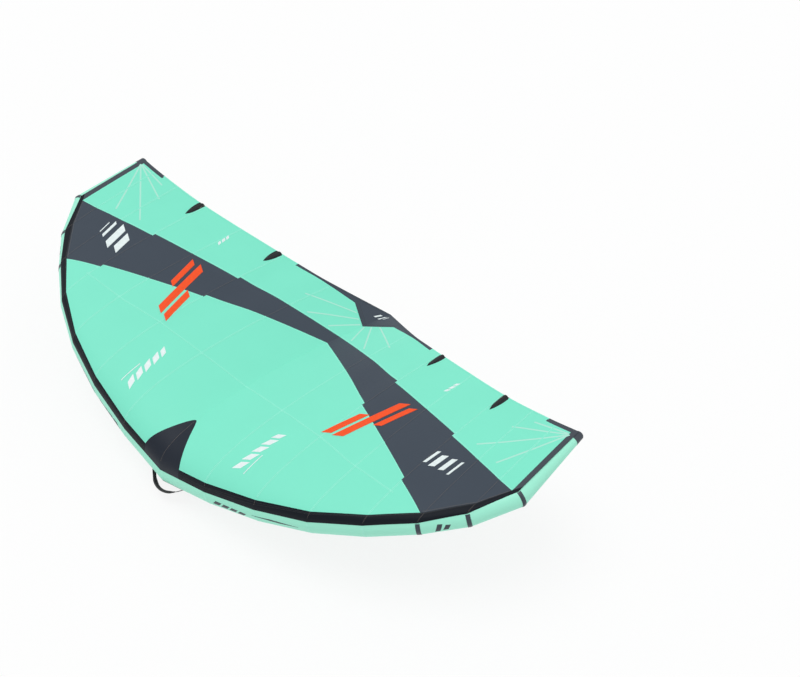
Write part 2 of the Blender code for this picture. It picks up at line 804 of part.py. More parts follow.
def build_batten(name, span, hand, parent):
    q = seams_at_span(span)
    chord = trailing_point(span_share(q)).y - sewn_point(q).y
    mirrored = hand == "left"
    outer, inner = [], []
    for share in POCKET_STEP_SHARES:
        u = 1 - POCKET_LENGTH * share / chord
        width = lerp(POCKET_WIDTH, POCKET_TIP_WIDTH, share)
        top = POCKET_REST + lerp(POCKET_HEIGHT, POCKET_TIP_HEIGHT, share)
        outer.append(pocket_ring(q, u, width, POCKET_REST, top))
    for share in POCKET_ROOM_SHARES:
        u = 1 - POCKET_LENGTH * share / chord
        room = lerp(POCKET_WIDTH, POCKET_TIP_WIDTH, share) - 2 * POCKET_WALL
        top = POCKET_REST + lerp(POCKET_HEIGHT, POCKET_TIP_HEIGHT, share) - POCKET_WALL
        room = min(room, BATTEN_WIDTH + 4 * GAP)
        inner.append(pocket_ring(q, u, room, POCKET_REST + POCKET_WALL, top))
    rows = outer[::-1] + inner
    bm = skinned(rows, wrap=True, mirrored=mirrored, start_cap=True, end_cap=True)
    bmesh.ops.recalc_face_normals(bm, faces=bm.faces)
    add_object(f"batten_pocket_{name}_{hand}", bm, webbing(), parent)
    bar = []
    base = POCKET_REST + POCKET_WALL + GAP
    for share in (*BATTEN_STEP_SHARES, BATTEN_LENGTH / POCKET_LENGTH):
        u = 1 - POCKET_LENGTH * share / chord
        bar.append(pocket_ring(q, u, BATTEN_WIDTH, base, base + BATTEN_THICK * (1 - share / 2)))
    add_object(f"batten_{name}_{hand}", solid_skin(bar, mirrored), batten_rod(), parent)


# Leading edge pieces


def build_leading_edge(parent):
    inset = SLEEVE_WALL + GAP
    for mirrored, hand in ((False, "right"), (True, "left")):
        rings = [tube_ring(k, 0, TUBE_SIDES) for k in range(LAST_SEAM + 1)]
        for point in rings[0]:
            point.x += 2 * GAP
        obj = add_object(
            f"leading_edge_sleeve_{hand}",
            skinned(rings, wrap=True, mirrored=mirrored),
            sleeve_cloth(),
            parent,
        )
        thicken(obj, SLEEVE_WALL, -1)
        for number, seam in enumerate(BAND_SEAMS, start=1):
            build_band(f"leading_edge_band_{hand}_{number}", seam, mirrored, parent)
        build_tip_cap(f"tip_cap_{hand}", mirrored, parent)
    build_leading_bladder(parent, inset)


def build_band(name, seam, mirrored, parent):
    start = SEWN_DEGREES[seam] - BAND_STOP_DEGREES
    stop = BAND_HIDDEN_DEGREES - 360
    half = BAND_WIDTH / 2
    places = (seam - half / tube_length(seam - 1), seam, seam + half / tube_length(seam))
    rows = [tube_arc(q, GAP, stop, start) for q in places]
    obj = add_object(name, skinned(rows, mirrored=mirrored), edge_cloth(), parent)
    thicken(obj, BAND_WALL, 1)


def build_tip_cap(name, mirrored, parent):
    """A cup over the tube's end: an open shell with a domed bottom."""
    last = LAST_SEAM
    along, _, _ = seam_directions(last)
    centre = seam_centre(last)
    skirt = last - CAP_LENGTH / tube_length(last - 1)
    rows = [tube_ring(skirt, GAP, TUBE_SIDES), tube_ring(last, GAP, TUBE_SIDES)]
    for share in CAP_STEP_SHARES:
        size = math.sqrt(1 - (share * CAP_ROUND_SHARE) ** 2)
        lift = along * CAP_DOME * share
        rows.append([centre + lift + (point - centre) * size for point in rows[1]])
    bm = skinned(rows, wrap=True, mirrored=mirrored, end_cap=True)
    obj = add_object(name, bm, edge_cloth(), parent)
    thicken(obj, BAND_WALL, 1)


def build_leading_bladder(parent, inset):
    """One bladder from tip to tip. Its port is cut where the inflation hose is clamped on."""
    tip = LAST_SEAM - 2 * inset / tube_length(LAST_SEAM - 1)
    places = [*range(LAST_SEAM), tip]
    right = [tube_ring(q, -inset, BLADDER_SIDES) for q in places]
    end = sum(right[-1], Vector()) / BLADDER_SIDES
    right.append([end + (p - end) * BLADDER_END_SHARE for p in right[-1]])
    left = [[Vector((-p.x, p.y, p.z)) for p in row] for row in right[:0:-1]]
    bm = skinned(left + right, wrap=True, start_cap=True, end_cap=True)
    bmesh.ops.recalc_face_normals(bm, faces=bm.faces)
    obj = add_object("leading_edge_bladder", bm, bladder_film(), parent)
    thicken(obj, BLADDER_WALL, -1)
    cut_leading_port(obj, PORT_BARB_DIAMETER / 2, parent)
    sleeve = bpy.data.objects["leading_edge_sleeve_right"]
    cut_leading_port(sleeve, PORT_FLANGE_DIAMETER / 2 + GAP, parent)


def leading_port_place():
    """Where the hose's line meets the leading edge's bladder, on its aft side."""
    low, high = 0.0, STRUT_LENGTH / 4
    height = -STRUT_AXIS_DROP
    for _ in range(40):
        middle = (low + high) / 2
        depth, _, _ = tube_axis_place(Vector((HOSE_ASIDE, middle, height)))
        if depth < 0:
            low = middle
        else:
            high = middle
    return Vector((HOSE_ASIDE, (low + high) / 2, height))


def cut_leading_port(obj, radius, parent):
    place = leading_port_place()
    cutter = add_object(
        f"{obj.name}_port_cutter",
        rod(radius, -NOSE_RADIUS / 3, OVERRUN, 16),
        moulded_plastic(),
        parent,
    )
    cutter.location = place
    cutter.rotation_euler = Matrix.Rotation(-math.pi / 2, 3, "X").to_euler()
    combine(obj, cutter, "DIFFERENCE")


# The strut


class Strut:
    """The strut's stations: their places back, radii and axis heights, tucked under the canopy."""

    def __init__(self, centre_line):
        self.places = [STRUT_LENGTH * share for share in STRUT_PLACE_SHARES]
        self.radii = []
        self.heights = []
        for place, girth, drop in zip(self.places, STRUT_GIRTH_SHARES, STRUT_DROP_SHARES):
            radius = STRUT_DIAMETER / 2 * girth
            height = -STRUT_AXIS_DROP * drop
            room = piecewise(*centre_line, place) - 4 * GAP
            bottom = height - radius
            top = min(height + radius, max(room, bottom + 2 * GAP))
            self.radii.append((top - bottom) / 2)
            self.heights.append((top + bottom) / 2)

    def radius(self, place):
        return piecewise(self.places, self.radii, place)

    def height(self, place):
        return piecewise(self.places, self.heights, place)

    def top(self, place):
        return self.height(place) + self.radius(place)

    def bottom(self, place):
        return self.height(place) - self.radius(place)

    def point(self, place, degrees, extra=0.0):
        reach = self.radius(place) + extra

        def point_at(corner):
            angle = math.radians(corner)
            height = self.height(place) + reach * math.sin(angle)
            return Vector((reach * math.cos(angle), place, height))

        return on_facet(point_at, degrees)

    def under(self, place, x, extra):
        """The height of the faceted underside, moved out by extra, at a distance x aside."""
        corners = [self.point(place, degrees, extra) for degrees in arc_corners(-180, 0)]
        return piecewise([p.x for p in corners], [p.z for p in corners], x)

    def circle(self, place, extra, sides):
        return [self.point(place, 360 * j / sides, extra) for j in range(sides)]

    def saddle(self, sides):
        """The front ring, fitted to the back of the leading edge tube."""
        fitted = []
        for j in range(sides):
            point = self.point(self.places[0], 360 * j / sides)
            low, high = 0.0, self.places[0]
            for _ in range(40):
                point.y = (low + high) / 2
                depth, _, _ = tube_axis_place(Vector((abs(point.x), point.y, point.z)))
                if depth < 4 * GAP:
                    low = point.y
                else:
                    high = point.y
            fitted.append(point)
        return fitted


def build_strut(parent, strut, valve):
    rows = [strut.saddle(TUBE_SIDES)] + [strut.circle(p, 0, TUBE_SIDES) for p in strut.places]
    bm = skinned(rows, wrap=True, end_cap=True, mirrored=True)
    sleeve = add_object("strut_sleeve", bm, sleeve_cloth(), parent)
    thicken(sleeve, SLEEVE_WALL, -1)
    hole = rod(VALVE_SOCKET_DIAMETER / 2 + 2 * GAP, -OVERRUN, OVERRUN, 24)
    cutter = add_object("strut_sleeve_valve_cutter", hole, moulded_plastic(), valve)
    combine(sleeve, cutter, "DIFFERENCE")

    inset = -SLEEVE_WALL - GAP
    stations = [place for place in strut.places[1:-2] if place > BLADDER_START]
    rows = []
    for back, size in BLADDER_NOSE_SHARES:
        place = BLADDER_START + back * STRUT_DIAMETER
        ring_points = strut.circle(place, inset, BLADDER_SIDES)
        centre = Vector((0, place, strut.height(place)))
        rows.append([centre + (point - centre) * size for point in ring_points])
    rows += [strut.circle(place, inset, BLADDER_SIDES) for place in stations]
    bm = skinned(rows, wrap=True, start_cap=True, end_cap=True)
    bmesh.ops.recalc_face_normals(bm, faces=bm.faces)
    bladder = add_object("strut_bladder", bm, bladder_film(), parent)
    thicken(bladder, BLADDER_WALL, -1)
    hole = rod(VALVE_FLANGE_DIAMETER / 2 + 2 * GAP, -OVERRUN - VALVE_FLANGE_DEPTH, OVERRUN, 24)
    cutter = add_object("strut_bladder_valve_cutter", hole, moulded_plastic(), valve)
    combine(bladder, cutter, "DIFFERENCE")
    hole = rod(PORT_BARB_DIAMETER / 2, -OVERRUN, OVERRUN, 16)
    cutter = add_object("strut_bladder_port_cutter", hole, moulded_plastic(), parent)
    cutter.location = strut_port_place()
    cutter.rotation_euler = Matrix.Rotation(-math.pi / 2, 3, "X").to_euler()
    combine(bladder, cutter, "DIFFERENCE")


def strut_port_place():
    """The hose's end on the bladder's flat front."""
    return Vector((HOSE_ASIDE, BLADDER_START, -STRUT_AXIS_DROP))


def build_web(parent, strut, centre_line):
    """The upright panel that ties the canopy to the strut."""
    start = NOSE_RADIUS + WEB_START_GAP
    stop = STRUT_LENGTH * WEB_END_SHARE
    places = sorted(
        [start, stop]
        + [p for p in centre_line[0] if start < p < stop]
        + [p for p in strut.places if start < p < stop]
    )
    rows = []
    for place in places:
        top = piecewise(*centre_line, place) - 2 * GAP
        bottom = strut.top(place) + 2 * GAP
        if top - bottom < WEB_THICK:
            break
        rows.append([Vector((0, place, bottom)), Vector((0, place, top))])
    obj = add_object("strut_web", skinned(rows), sleeve_cloth(), parent)
    thicken(obj, WEB_THICK, 0)


# Straps under the strut


class HandleLine:
    """A strap's middle line in the centre plane: flat on the strut at both ends, bowed between."""

    def __init__(self, strut, ends):
        self.strut = strut
        self.ends = ends
        self.seat = PATCH_WALL + 2 * GAP + WEBBING_THICK / 2
        drop_share = JUNCTION_DROP / HANDLE_DROP
        share = math.acos(1 - 2 * drop_share) / math.tau
        self.junctions = (lerp(*ends, share), lerp(*ends, 1 - share))
        fore, aft = (Vector((0, y, self.height(y))) for y in self.junctions)
        self.pivot = fore
        self.axis = (aft - fore).normalized()
        self.aft = aft

    def height(self, place):
        base = self.strut.bottom(place) - self.seat
        if not self.ends[0] < place < self.ends[1]:
            return base
        first, last = (self.strut.bottom(end) - self.seat for end in self.ends)
        share = (place - self.ends[0]) / (self.ends[1] - self.ends[0])
        bell = (1 - math.cos(math.tau * share)) / 2
        return lerp(first, last, share) - HANDLE_DROP * bell

    def normal(self, place, square):
        """Across the strap's thickness: square keeps it square to the hinge axis."""
        step = GAP
        run = Vector((0, 2 * step, self.height(place + step) - self.height(place - step)))
        lean = Vector((0, -run.z, run.y)).normalized()
        if not square:
            return lean
        flat = Vector((0, -self.axis.z, self.axis.y))
        return flat / max(flat.dot(lean), 0.5)


def strap_rows(line, places, sizes, sides, square_ends):
    """Rings of a strap: an oval of sides points, or a flat bar where sides is 4."""
    rows = []
    for i, (place, (width, thick)) in enumerate(zip(places, sizes)):
        centre = Vector((0, place, line.height(place)))
        square = (i == 0 and square_ends[0]) or (i == len(places) - 1 and square_ends[1])
        across = line.normal(place, square)
        points = []
        for j in range(sides):
            angle = math.tau * (j + 0.5) / sides
            grow = 1 / math.cos(math.pi / sides) if sides == 4 else 1
            aside = math.cos(angle) * width / 2 * grow
            lift = math.sin(angle) * thick / 2 * grow
            points.append(centre + Vector((aside, 0, 0)) + across * lift)
        rows.append(points)
    return rows


def build_handle(name, strut, ends, parent):
    line = HandleLine(strut, ends)
    pivot = add_empty(f"{name}_pivot", line.pivot, parent)
    fore, aft = line.junctions
    count = GRIP_PIECES
    places = [lerp(fore + GAP / 2, aft - GAP / 2, i / count) for i in range(count + 1)]
    sizes = []
    for i in range(count + 1):
        near = min(i, count - i) / count
        fill = min(near / GRIP_TAPER_SHARE, 1)
        fill = fill * fill * (3 - 2 * fill)
        sizes.append((lerp(WEBBING_WIDTH, GRIP_WIDTH, fill), lerp(GRIP_END_THICK, GRIP_THICK, fill)))
    rows = strap_rows(line, places, sizes, GRIP_SIDES, (True, True))
    for row in rows:
        for point in row:
            point -= line.pivot
    add_object(f"{name}_grip", solid_skin(rows), webbing(), pivot)
    for hand, root, junction in (("fore", ends[0], fore), ("aft", ends[1], aft)):
        out = -1 if hand == "fore" else 1
        tail = root + out * WEBBING_TAIL
        flat = [lerp(tail, root, i / 3) for i in range(3)]
        bend = [lerp(root, junction + out * GAP / 2, i / 6) for i in range(7)]
        run = flat + bend
        size = (WEBBING_WIDTH, WEBBING_THICK)
        rows = strap_rows(line, run, [size] * len(run), 4, (False, True))
        add_object(f"{name}_webbing_{hand}", solid_skin(rows), webbing(), parent)
        build_handle_patch(f"{name}_patch_{hand}", strut, root, out, parent)


def build_handle_patch(name, strut, root, out, parent):
    """A reinforcement wrapped under the strut, with two sewn loops that hold the webbing."""
    inward, outward = HANDLE_PATCHES[name]
    places = sorted((root - out * inward, root + out * outward))
    stations = [places[0]] + [p for p in strut.places if places[0] < p < places[1]] + [places[1]]
    wrap = arc_corners(-90 - PATCH_WRAP_DEGREES, -90 + PATCH_WRAP_DEGREES)
    rows = [[strut.point(place, degrees, GAP) for degrees in wrap] for place in stations]
    patch = add_object(name, skinned(rows, mirrored=True), sleeve_cloth(), parent)
    thicken(patch, PATCH_WALL, 1)
    for number, span in enumerate(LOOP_SPANS, start=1):
        rings = [loop_ring(strut, root + out * reach) for reach in span]
        loop = add_object(f"{name}_loop_{number}", solid_skin(rings), sleeve_cloth(), parent)
        combine(patch, loop, "UNION")


def loop_ring(strut, place):
    """A loop's U-shaped section: its legs end inside the patch's cloth."""
    inside = WEBBING_WIDTH / 2 + 3 * GAP
    outside = inside + LOOP_WALL
    slot = PATCH_WALL + 3 * GAP + WEBBING_THICK
    bottom = strut.bottom(place)
    foot = strut.under(place, inside + LOOP_WALL / 2, GAP + PATCH_WALL / 2) - bottom
    outline = (
        (-outside, foot),
        (-outside, -slot - LOOP_WALL),
        (outside, -slot - LOOP_WALL),
        (outside, foot),
        (inside, foot),
        (inside, -slot),
        (-inside, -slot),
        (-inside, foot),
    )
    return [Vector((x, place, bottom + z)) for x, z in outline]


# Strap on the nose


def nose_line(x):
    """The nose strap's middle line, off the tube by a rise that is greatest at the centre."""
    if abs(x) >= NOSE_STRAP_ROOT:
        rise, degrees = 0.0, NOSE_STRAP_DEGREES
    else:
        bow = (1 + math.cos(math.pi * x / NOSE_STRAP_ROOT)) / 2
        rise = NOSE_STRAP_RISE * bow**NOSE_STRAP_BOW_POWER
        degrees = lerp(NOSE_STRAP_DEGREES, NOSE_STRAP_RISE_DEGREES, bow)
    seat = NOSE_PATCH_WALL + 3 * GAP + WEBBING_THICK / 2
    q = abs(x) / seam_centre(1).x
    for _ in range(4):
        point = tube_point(q, degrees, seat + rise)
        q += (abs(x) - point.x) / seam_centre(1).x
    return Vector((x, point.y, point.z)), degrees


def nose_ring(x, width, thick, sides, axis=None):
    """A section of the nose strap; with an axis given it is cut square to that axis."""
    centre, degrees = nose_line(x)
    step = GAP
    run = (nose_line(x + step)[0] - nose_line(x - step)[0]).normalized()
    angle = math.radians(degrees)
    out = Vector((0, -math.cos(angle), math.sin(angle)))
    out = (out - run * out.dot(run)).normalized()
    broad = run.cross(out)
    if axis is not None:
        out = (out - axis * out.dot(axis)) / max(run.dot(axis), 0.5)
        broad -= axis * broad.dot(axis)
    points = []
    for j in range(sides):
        turn = math.tau * (j + 0.5) / sides
        grow = 1 / math.cos(math.pi / sides) if sides == 4 else 1
        points.append(
            centre
            + broad * math.cos(turn) * width / 2 * grow
            + out * math.sin(turn) * thick / 2 * grow
        )
    return points


def build_nose_strap(parent):
    reach = NOSE_PATCH_HALF_WIDTH / seam_centre(1).x
    rows = [tube_arc(q, GAP, *NOSE_PATCH_DEGREES) for q in (-reach, 0, reach)]
    patch = add_object("nose_patch", skinned(rows), webbing(), parent)
    thicken(patch, NOSE_PATCH_WALL, 1)

    centre, _ = nose_line(NOSE_JUNCTION)
    pivot = add_empty("nose_handle_pivot", (0, centre.y, centre.z), parent)
    axis = Vector((1, 0, 0))
    count = 14
    rows = []
    for i in range(count + 1):
        x = lerp(-NOSE_JUNCTION, NOSE_JUNCTION, i / count)
        near = min(i, count - i) / count
        fill = min(near / GRIP_TAPER_SHARE, 1)
        width = lerp(NOSE_STRAP_WIDTH, NOSE_GRIP_WIDTH, fill)
        thick = lerp(NOSE_GRIP_END_THICK, NOSE_GRIP_THICK, fill)
        square = axis if i in (0, count) else None
        points = nose_ring(x, width, thick, 12, square)
        rows.append([point - pivot.location for point in points])
    add_object("nose_handle_grip", solid_skin(rows), webbing(), pivot)
    for mirrored, hand in ((False, "right"), (True, "left")):
        places = [NOSE_JUNCTION + GAP]
        places += [lerp(NOSE_JUNCTION, NOSE_STRAP_ROOT, i / 4) for i in (1, 2, 3)]
        places += [NOSE_STRAP_ROOT + WEBBING_THICK, NOSE_PATCH_HALF_WIDTH, NOSE_STRAP_END]
        rows = [
            nose_ring(x, NOSE_STRAP_WIDTH, WEBBING_THICK, 4, axis if i == 0 else None)
            for i, x in enumerate(places)
        ]
        add_object(f"nose_webbing_{hand}", solid_skin(rows, mirrored), webbing(), parent)


# Inflation valve and hose


def valve_frame(parent, strut):
    """An empty on the strut's left side, its Z out of the strut and its Y aft."""
    out = Vector((-math.cos(math.radians(VALVE_DEGREES)), 0, math.sin(math.radians(VALVE_DEGREES))))
    aft = Vector((0, 1, 0))
    across = aft.cross(out)
    turn = Matrix((across, aft, out)).transposed()
    place = Vector((0, VALVE_PLACE, strut.height(VALVE_PLACE))) + out * strut.radius(VALVE_PLACE)
    return add_empty("valve_frame", place, parent, turn)


def build_valve(valve):
    socket = VALVE_SOCKET_DIAMETER / 2
    bore = socket - VALVE_SOCKET_WALL
    low = -VALVE_FLANGE_DEPTH
    profile = (
        (bore, low),
        (VALVE_FLANGE_DIAMETER / 2, low),
        (VALVE_FLANGE_DIAMETER / 2, low + VALVE_FLANGE_THICK),
        (socket, low + VALVE_FLANGE_THICK),
        (socket, VALVE_PROUD),
        (bore, VALVE_PROUD),
    )
    add_object("valve_base", turned(profile, 24), moulded_plastic(), valve)

    floor = -VALVE_CORE_DEPTH
    core = bore - GAP
    hole = VALVE_STEM_DIAMETER / 2 + GAP
    lip = VALVE_PROUD - 2 * GAP
    profile = (
        (hole, floor),
        (core, floor),
        (core, lip),
        (core - VALVE_CORE_WALL, lip),
        (core - VALVE_CORE_WALL, floor + VALVE_CORE_FLOOR),
        (hole, floor + VALVE_CORE_FLOOR),
    )
    body = add_object("valve_core", turned(profile, 24), moulded_plastic(), valve)
    middle = (hole + core - VALVE_CORE_WALL) / 2
    for number in range(VALVE_PORTS):
        port = rod(middle / 3, floor - OVERRUN, floor + VALVE_CORE_FLOOR + GAP, 8)
        cutter = add_object(f"valve_core_port_{number}", port, moulded_plastic(), valve)
        turn = math.tau * number / VALVE_PORTS
        cutter.location = (middle * math.cos(turn), middle * math.sin(turn), 0)
        combine(body, cutter, "DIFFERENCE")

    seal = floor - GAP
    stem = VALVE_STEM_DIAMETER / 2
    button = VALVE_BUTTON_DIAMETER / 2
    head = 0.0
    profile = (
        (0, seal - VALVE_CORE_FLOOR),
        (VALVE_SEAL_DIAMETER / 2, seal - VALVE_CORE_FLOOR),
        (VALVE_SEAL_DIAMETER / 2, seal),
        (stem, seal),
        (stem, head),
        (button, head),
        (button, head + VALVE_CORE_FLOOR),
        (0, head + VALVE_CORE_FLOOR),
    )
    add_object("valve_stem", turned(profile, 16), moulded_plastic(), valve)
    build_valve_spring(valve, floor + VALVE_CORE_FLOOR, head, (stem + button) / 2)

    collar_low = VALVE_PROUD - 2 * GAP - VALVE_TETHER_THICK
    collar = ring(socket + 2 * GAP, VALVE_CAP_DIAMETER / 2, collar_low, VALVE_PROUD - 2 * GAP, 24)
    tether = add_object("valve_tether", collar, moulded_plastic(), valve)
    tab = tab_solid(socket + 4 * GAP, VALVE_HINGE_REACH - GAP, collar_low, VALVE_PROUD - 2 * GAP)
    combine(tether, add_object("valve_tether_tab", tab, moulded_plastic(), valve), "UNION")

    pivot = add_empty("valve_cap_pivot", (0, VALVE_HINGE_REACH, VALVE_PROUD), valve)
    seat = GAP
    radius = VALVE_CAP_DIAMETER / 2
    chamfer = radius * VALVE_CAP_CHAMFER_SHARE
    dish, floor_of_dish = (radius * share for share in VALVE_CAP_DISH_SHARES)
    profile = (
        (0, VALVE_CAP_RECESS),
        (bore, VALVE_CAP_RECESS),
        (bore, seat),
        (radius, seat),
        (radius, VALVE_CAP_HEIGHT - chamfer),
        (radius - chamfer, VALVE_CAP_HEIGHT),
        (dish, VALVE_CAP_HEIGHT),
        (floor_of_dish, VALVE_CAP_HEIGHT - chamfer),
        (0, VALVE_CAP_HEIGHT - chamfer),
    )
    bm = turned(profile, 24)
    bmesh.ops.translate(bm, verts=bm.verts, vec=(0, -VALVE_HINGE_REACH, 0))
    cap = add_object("valve_cap", bm, moulded_plastic(), pivot)
    tab = tab_solid(radius - 2 * chamfer, VALVE_HINGE_REACH, seat, seat + VALVE_TETHER_THICK)
    bmesh.ops.translate(tab, verts=tab.verts, vec=(0, -VALVE_HINGE_REACH, 0))
    combine(cap, add_object("valve_cap_tab", tab, moulded_plastic(), pivot), "UNION")


def tab_solid(start, stop, low, high):
    half = VALVE_TAB_WIDTH / 2
    corners = ((-half, low), (half, low), (half, high), (-half, high))
    return solid_skin([[Vector((x, y, z)) for x, z in corners] for y in (start, stop)])


def build_valve_spring(valve, low, high, radius):
    """A coil round the stem, from the core's floor to the underside of the button."""
    points = 8 * VALVE_SPRING_TURNS
    wire = VALVE_SPRING_WIRE / 2
    low += wire + GAP
    high -= wire + GAP
    rows = []
    for i in range(points + 1):
        turn = math.tau * i / 8
        outward = Vector((math.cos(turn), math.sin(turn), 0))
        centre = outward * radius + UP * lerp(low, high, i / points)
        rows.append(
            [
                centre + (outward * math.cos(a) + UP * math.sin(a)) * wire
                for a in (math.tau * j / 6 for j in range(6))
            ]
        )
    add_object("valve_spring", solid_skin(rows), spring_steel(), valve)


def build_hose(parent, strut):
    """The hose between the two bladders, with a barbed port and a clamp at each end."""
    front = leading_port_place()
    front.y += GAP
    back = strut_port_place() - Vector((0, GAP, 0))
    barb = PORT_BARB_DIAMETER / 2
    bore = barb - PORT_BARB_WALL
    profile = (
        (bore, 0),
        (PORT_FLANGE_DIAMETER / 2, 0),
        (PORT_FLANGE_DIAMETER / 2, PORT_FLANGE_THICK),
        (barb, PORT_FLANGE_THICK),
        (barb, PORT_BARB_LENGTH),
        (bore, PORT_BARB_LENGTH),
    )
    aft = Matrix.Rotation(-math.pi / 2, 3, "X").to_euler()
    fore = Matrix.Rotation(math.pi / 2, 3, "X").to_euler()
    for name, place, turn in (("leading_edge_port", front, aft), ("strut_port", back, fore)):
        port = add_object(name, turned(profile, 16), moulded_plastic(), parent)
        port.location = place
        port.rotation_euler = turn
    start = front.y + PORT_FLANGE_THICK + HOSE_END_GAP
    stop = back.y - PORT_FLANGE_THICK - HOSE_END_GAP
    inner = barb + GAP
    outer = inner + HOSE_WALL
    hose = add_object("inflation_hose", ring(inner, outer, 0, stop - start, 16), hose_rubber(), parent)
    hose.location = (front.x, start, front.z)
    hose.rotation_euler = aft
    for name, place in (("hose_clamp_front", start), ("hose_clamp_rear", stop - CLAMP_WIDTH)):
        clamp = ring(outer + GAP, outer + GAP + CLAMP_WALL, 0, CLAMP_WIDTH, 16)
        clamp = add_object(name, clamp, spring_steel(), parent)
        clamp.location = (front.x, place, front.z)
        clamp.rotation_euler = aft


# Assembly


def centre_line_under(names):
    """The underside of the canopy's panels on the centre line, as places back and heights."""
    found = []
    for name in names:
        mesh = bpy.data.objects[name].data
        found += [(v.co.y, v.co.z) for v in mesh.vertices if abs(v.co.x) < GAP]
    found.sort()
    return [y for y, _ in found], [z for _, z in found]


def stand_on_origin(frame):
    """Moves the frame so that the world origin is the whole wing's bottom centre."""
    bpy.context.view_layer.update()
    graph = bpy.context.evaluated_depsgraph_get()
    low = Vector((math.inf,) * 3)
    high = -low
    for obj in bpy.context.scene.objects:
        if obj.type != "MESH" or obj.hide_render:
            continue
        evaluated = obj.evaluated_get(graph)
        for corner in evaluated.bound_box:
            corner = evaluated.matrix_world @ Vector(corner)
            low = Vector(map(min, low, corner))
            high = Vector(map(max, high, corner))
    frame.location = -Vector(((low.x + high.x) / 2, (low.y + high.y) / 2, low.z))


def main():
    clear_scene()
    frame = add_empty("wing_frame", (0, 0, 0))
    panels = Panels()
    build_canopy(frame, panels)
    for name, span in BATTEN_SPAN_SHARES.items():
        for hand in ("left", "right"):
            build_batten(name, span, hand, frame)
    build_leading_edge(frame)
    centre_line = centre_line_under(
        ("nose_fairing", "canopy_front_right", "canopy_stripe_right", "canopy_rear_right", "trailing_patch")
    )
    strut = Strut(centre_line)
    valve = valve_frame(frame, strut)
    build_strut(frame, strut, valve)
    build_web(frame, strut, centre_line)
    build_handle("rear_handle", strut, REAR_HANDLE_ENDS, frame)
    build_handle("front_handle", strut, FRONT_HANDLE_ENDS, frame)
    build_nose_strap(frame)
    build_valve(valve)
    build_hose(frame, strut)
    stand_on_origin(frame)


main()
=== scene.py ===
"""The finished look of an inflatable hand wing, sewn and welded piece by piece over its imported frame.

Metres throughout. Shapes are worked out from the nose, the centre of the leading edge tube where its two
halves meet, and the right half is mirrored for the left. A place is (across, back, up).
"""

import json
import math

import bmesh
import bpy
import numpy as np
from mathutils import Matrix, Vector


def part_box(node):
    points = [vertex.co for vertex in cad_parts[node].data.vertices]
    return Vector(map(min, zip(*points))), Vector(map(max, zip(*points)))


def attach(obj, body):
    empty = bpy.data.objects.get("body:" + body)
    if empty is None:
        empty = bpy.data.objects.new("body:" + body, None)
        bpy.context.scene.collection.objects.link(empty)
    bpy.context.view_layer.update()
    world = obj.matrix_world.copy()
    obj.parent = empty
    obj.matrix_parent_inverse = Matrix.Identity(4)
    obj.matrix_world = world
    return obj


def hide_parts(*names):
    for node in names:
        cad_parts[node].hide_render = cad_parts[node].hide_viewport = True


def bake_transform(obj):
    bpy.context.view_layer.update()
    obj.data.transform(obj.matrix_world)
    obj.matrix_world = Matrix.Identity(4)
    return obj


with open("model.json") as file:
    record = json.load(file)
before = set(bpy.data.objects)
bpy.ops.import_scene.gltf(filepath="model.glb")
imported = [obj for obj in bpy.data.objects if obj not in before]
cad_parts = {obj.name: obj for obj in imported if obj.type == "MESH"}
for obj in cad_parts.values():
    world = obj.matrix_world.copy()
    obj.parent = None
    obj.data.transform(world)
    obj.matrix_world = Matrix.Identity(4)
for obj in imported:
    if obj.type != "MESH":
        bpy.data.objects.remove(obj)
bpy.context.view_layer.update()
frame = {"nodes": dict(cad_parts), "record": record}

# Leading edge: one bent tube from tip to tip, drawn through its sewn seams
HALF_SPAN = 1.690
TIP_SWEEP = 1.244
TIP_RISE = 0.565
NOSE_TUBE_DIAMETER = 0.231
SEAM_SPAN_SHARES = (0.0, 0.186, 0.366, 0.531, 0.677, 0.805, 0.911, 0.997, 1.0)
SEAM_SWEEP_SHARES = (0.0, 0.0179, 0.0526, 0.1151, 0.2024, 0.3125, 0.4325, 0.6001, 1.0)
SEAM_RISE_SHARES = (0.0, 0.118, 0.249, 0.383, 0.515, 0.617, 0.730, 0.872, 1.0)
SEAM_GIRTH_SHARES = (1.0, 0.958, 0.893, 0.842, 0.747, 0.594, 0.497, 0.432, 0.216)
SEWN_DEGREES = (18, 16, 19, 21, 28, 40, 61, 92, 96)
CORNER_SEAM = 7
LAST_SEAM = 8
SLEEVE_WALL = 0.0009
BLADDER_WALL = 0.0006
BAND_WIDTH = 0.022
BAND_WALL = 0.0008
BAND_SEAMS = (5, 6, 7)
BAND_HIDDEN_DEGREES = 150
BAND_STOP_DEGREES = 5
BAND_SINK = 0.0016
CAP_LENGTH = 0.050
CAP_DOME = 0.0155

# Canopy
ROOT_CHORD = 1.901
TRAILING_ROOT_DROP = 0.007
TIP_LIFT = 0.0030
TRAIL_SPAN_SHARES = (0.0, 0.218, 0.326, 0.391, 0.709, 0.889, 1.0)
TRAIL_SWEEP_SHARES = (0.0, 0.403, 0.523, 0.609, 0.882, 0.973, 1.0)
TRAIL_RISE_SHARES = (0.0, 0.318, 0.423, 0.503, 0.770, 0.916, 1.0)
CAMBER = 0.448
CAMBER_FADE = 1.2
NOSE_FULLNESS = 0.35
CLOTH = 0.0010
CLOTH_REST = 0.0025
CLOTH_REST_RUN = 0.020
STRIP_WIDTH = 0.067
STRIP_WIDTH_SHARES = (1.0, 1.0, 1.0, 1.0, 1.0, 1.0, 1.05, 0.50)
STRIP_STEP_SHARES = (0.0, 0.034, 0.22, 0.55, 1.0)
STRIP_LIMIT_SHARE = 0.15
STRIPE_FRONT_SHARES = (0.684, 0.4744, 0.3083, 0.252)
STRIPE_REAR_SHARES = (0.7436, 0.620, 0.5186)
STRIPE_SEAMS = (0, 2, 4, 5)
STRIPE_STEP = 0.022
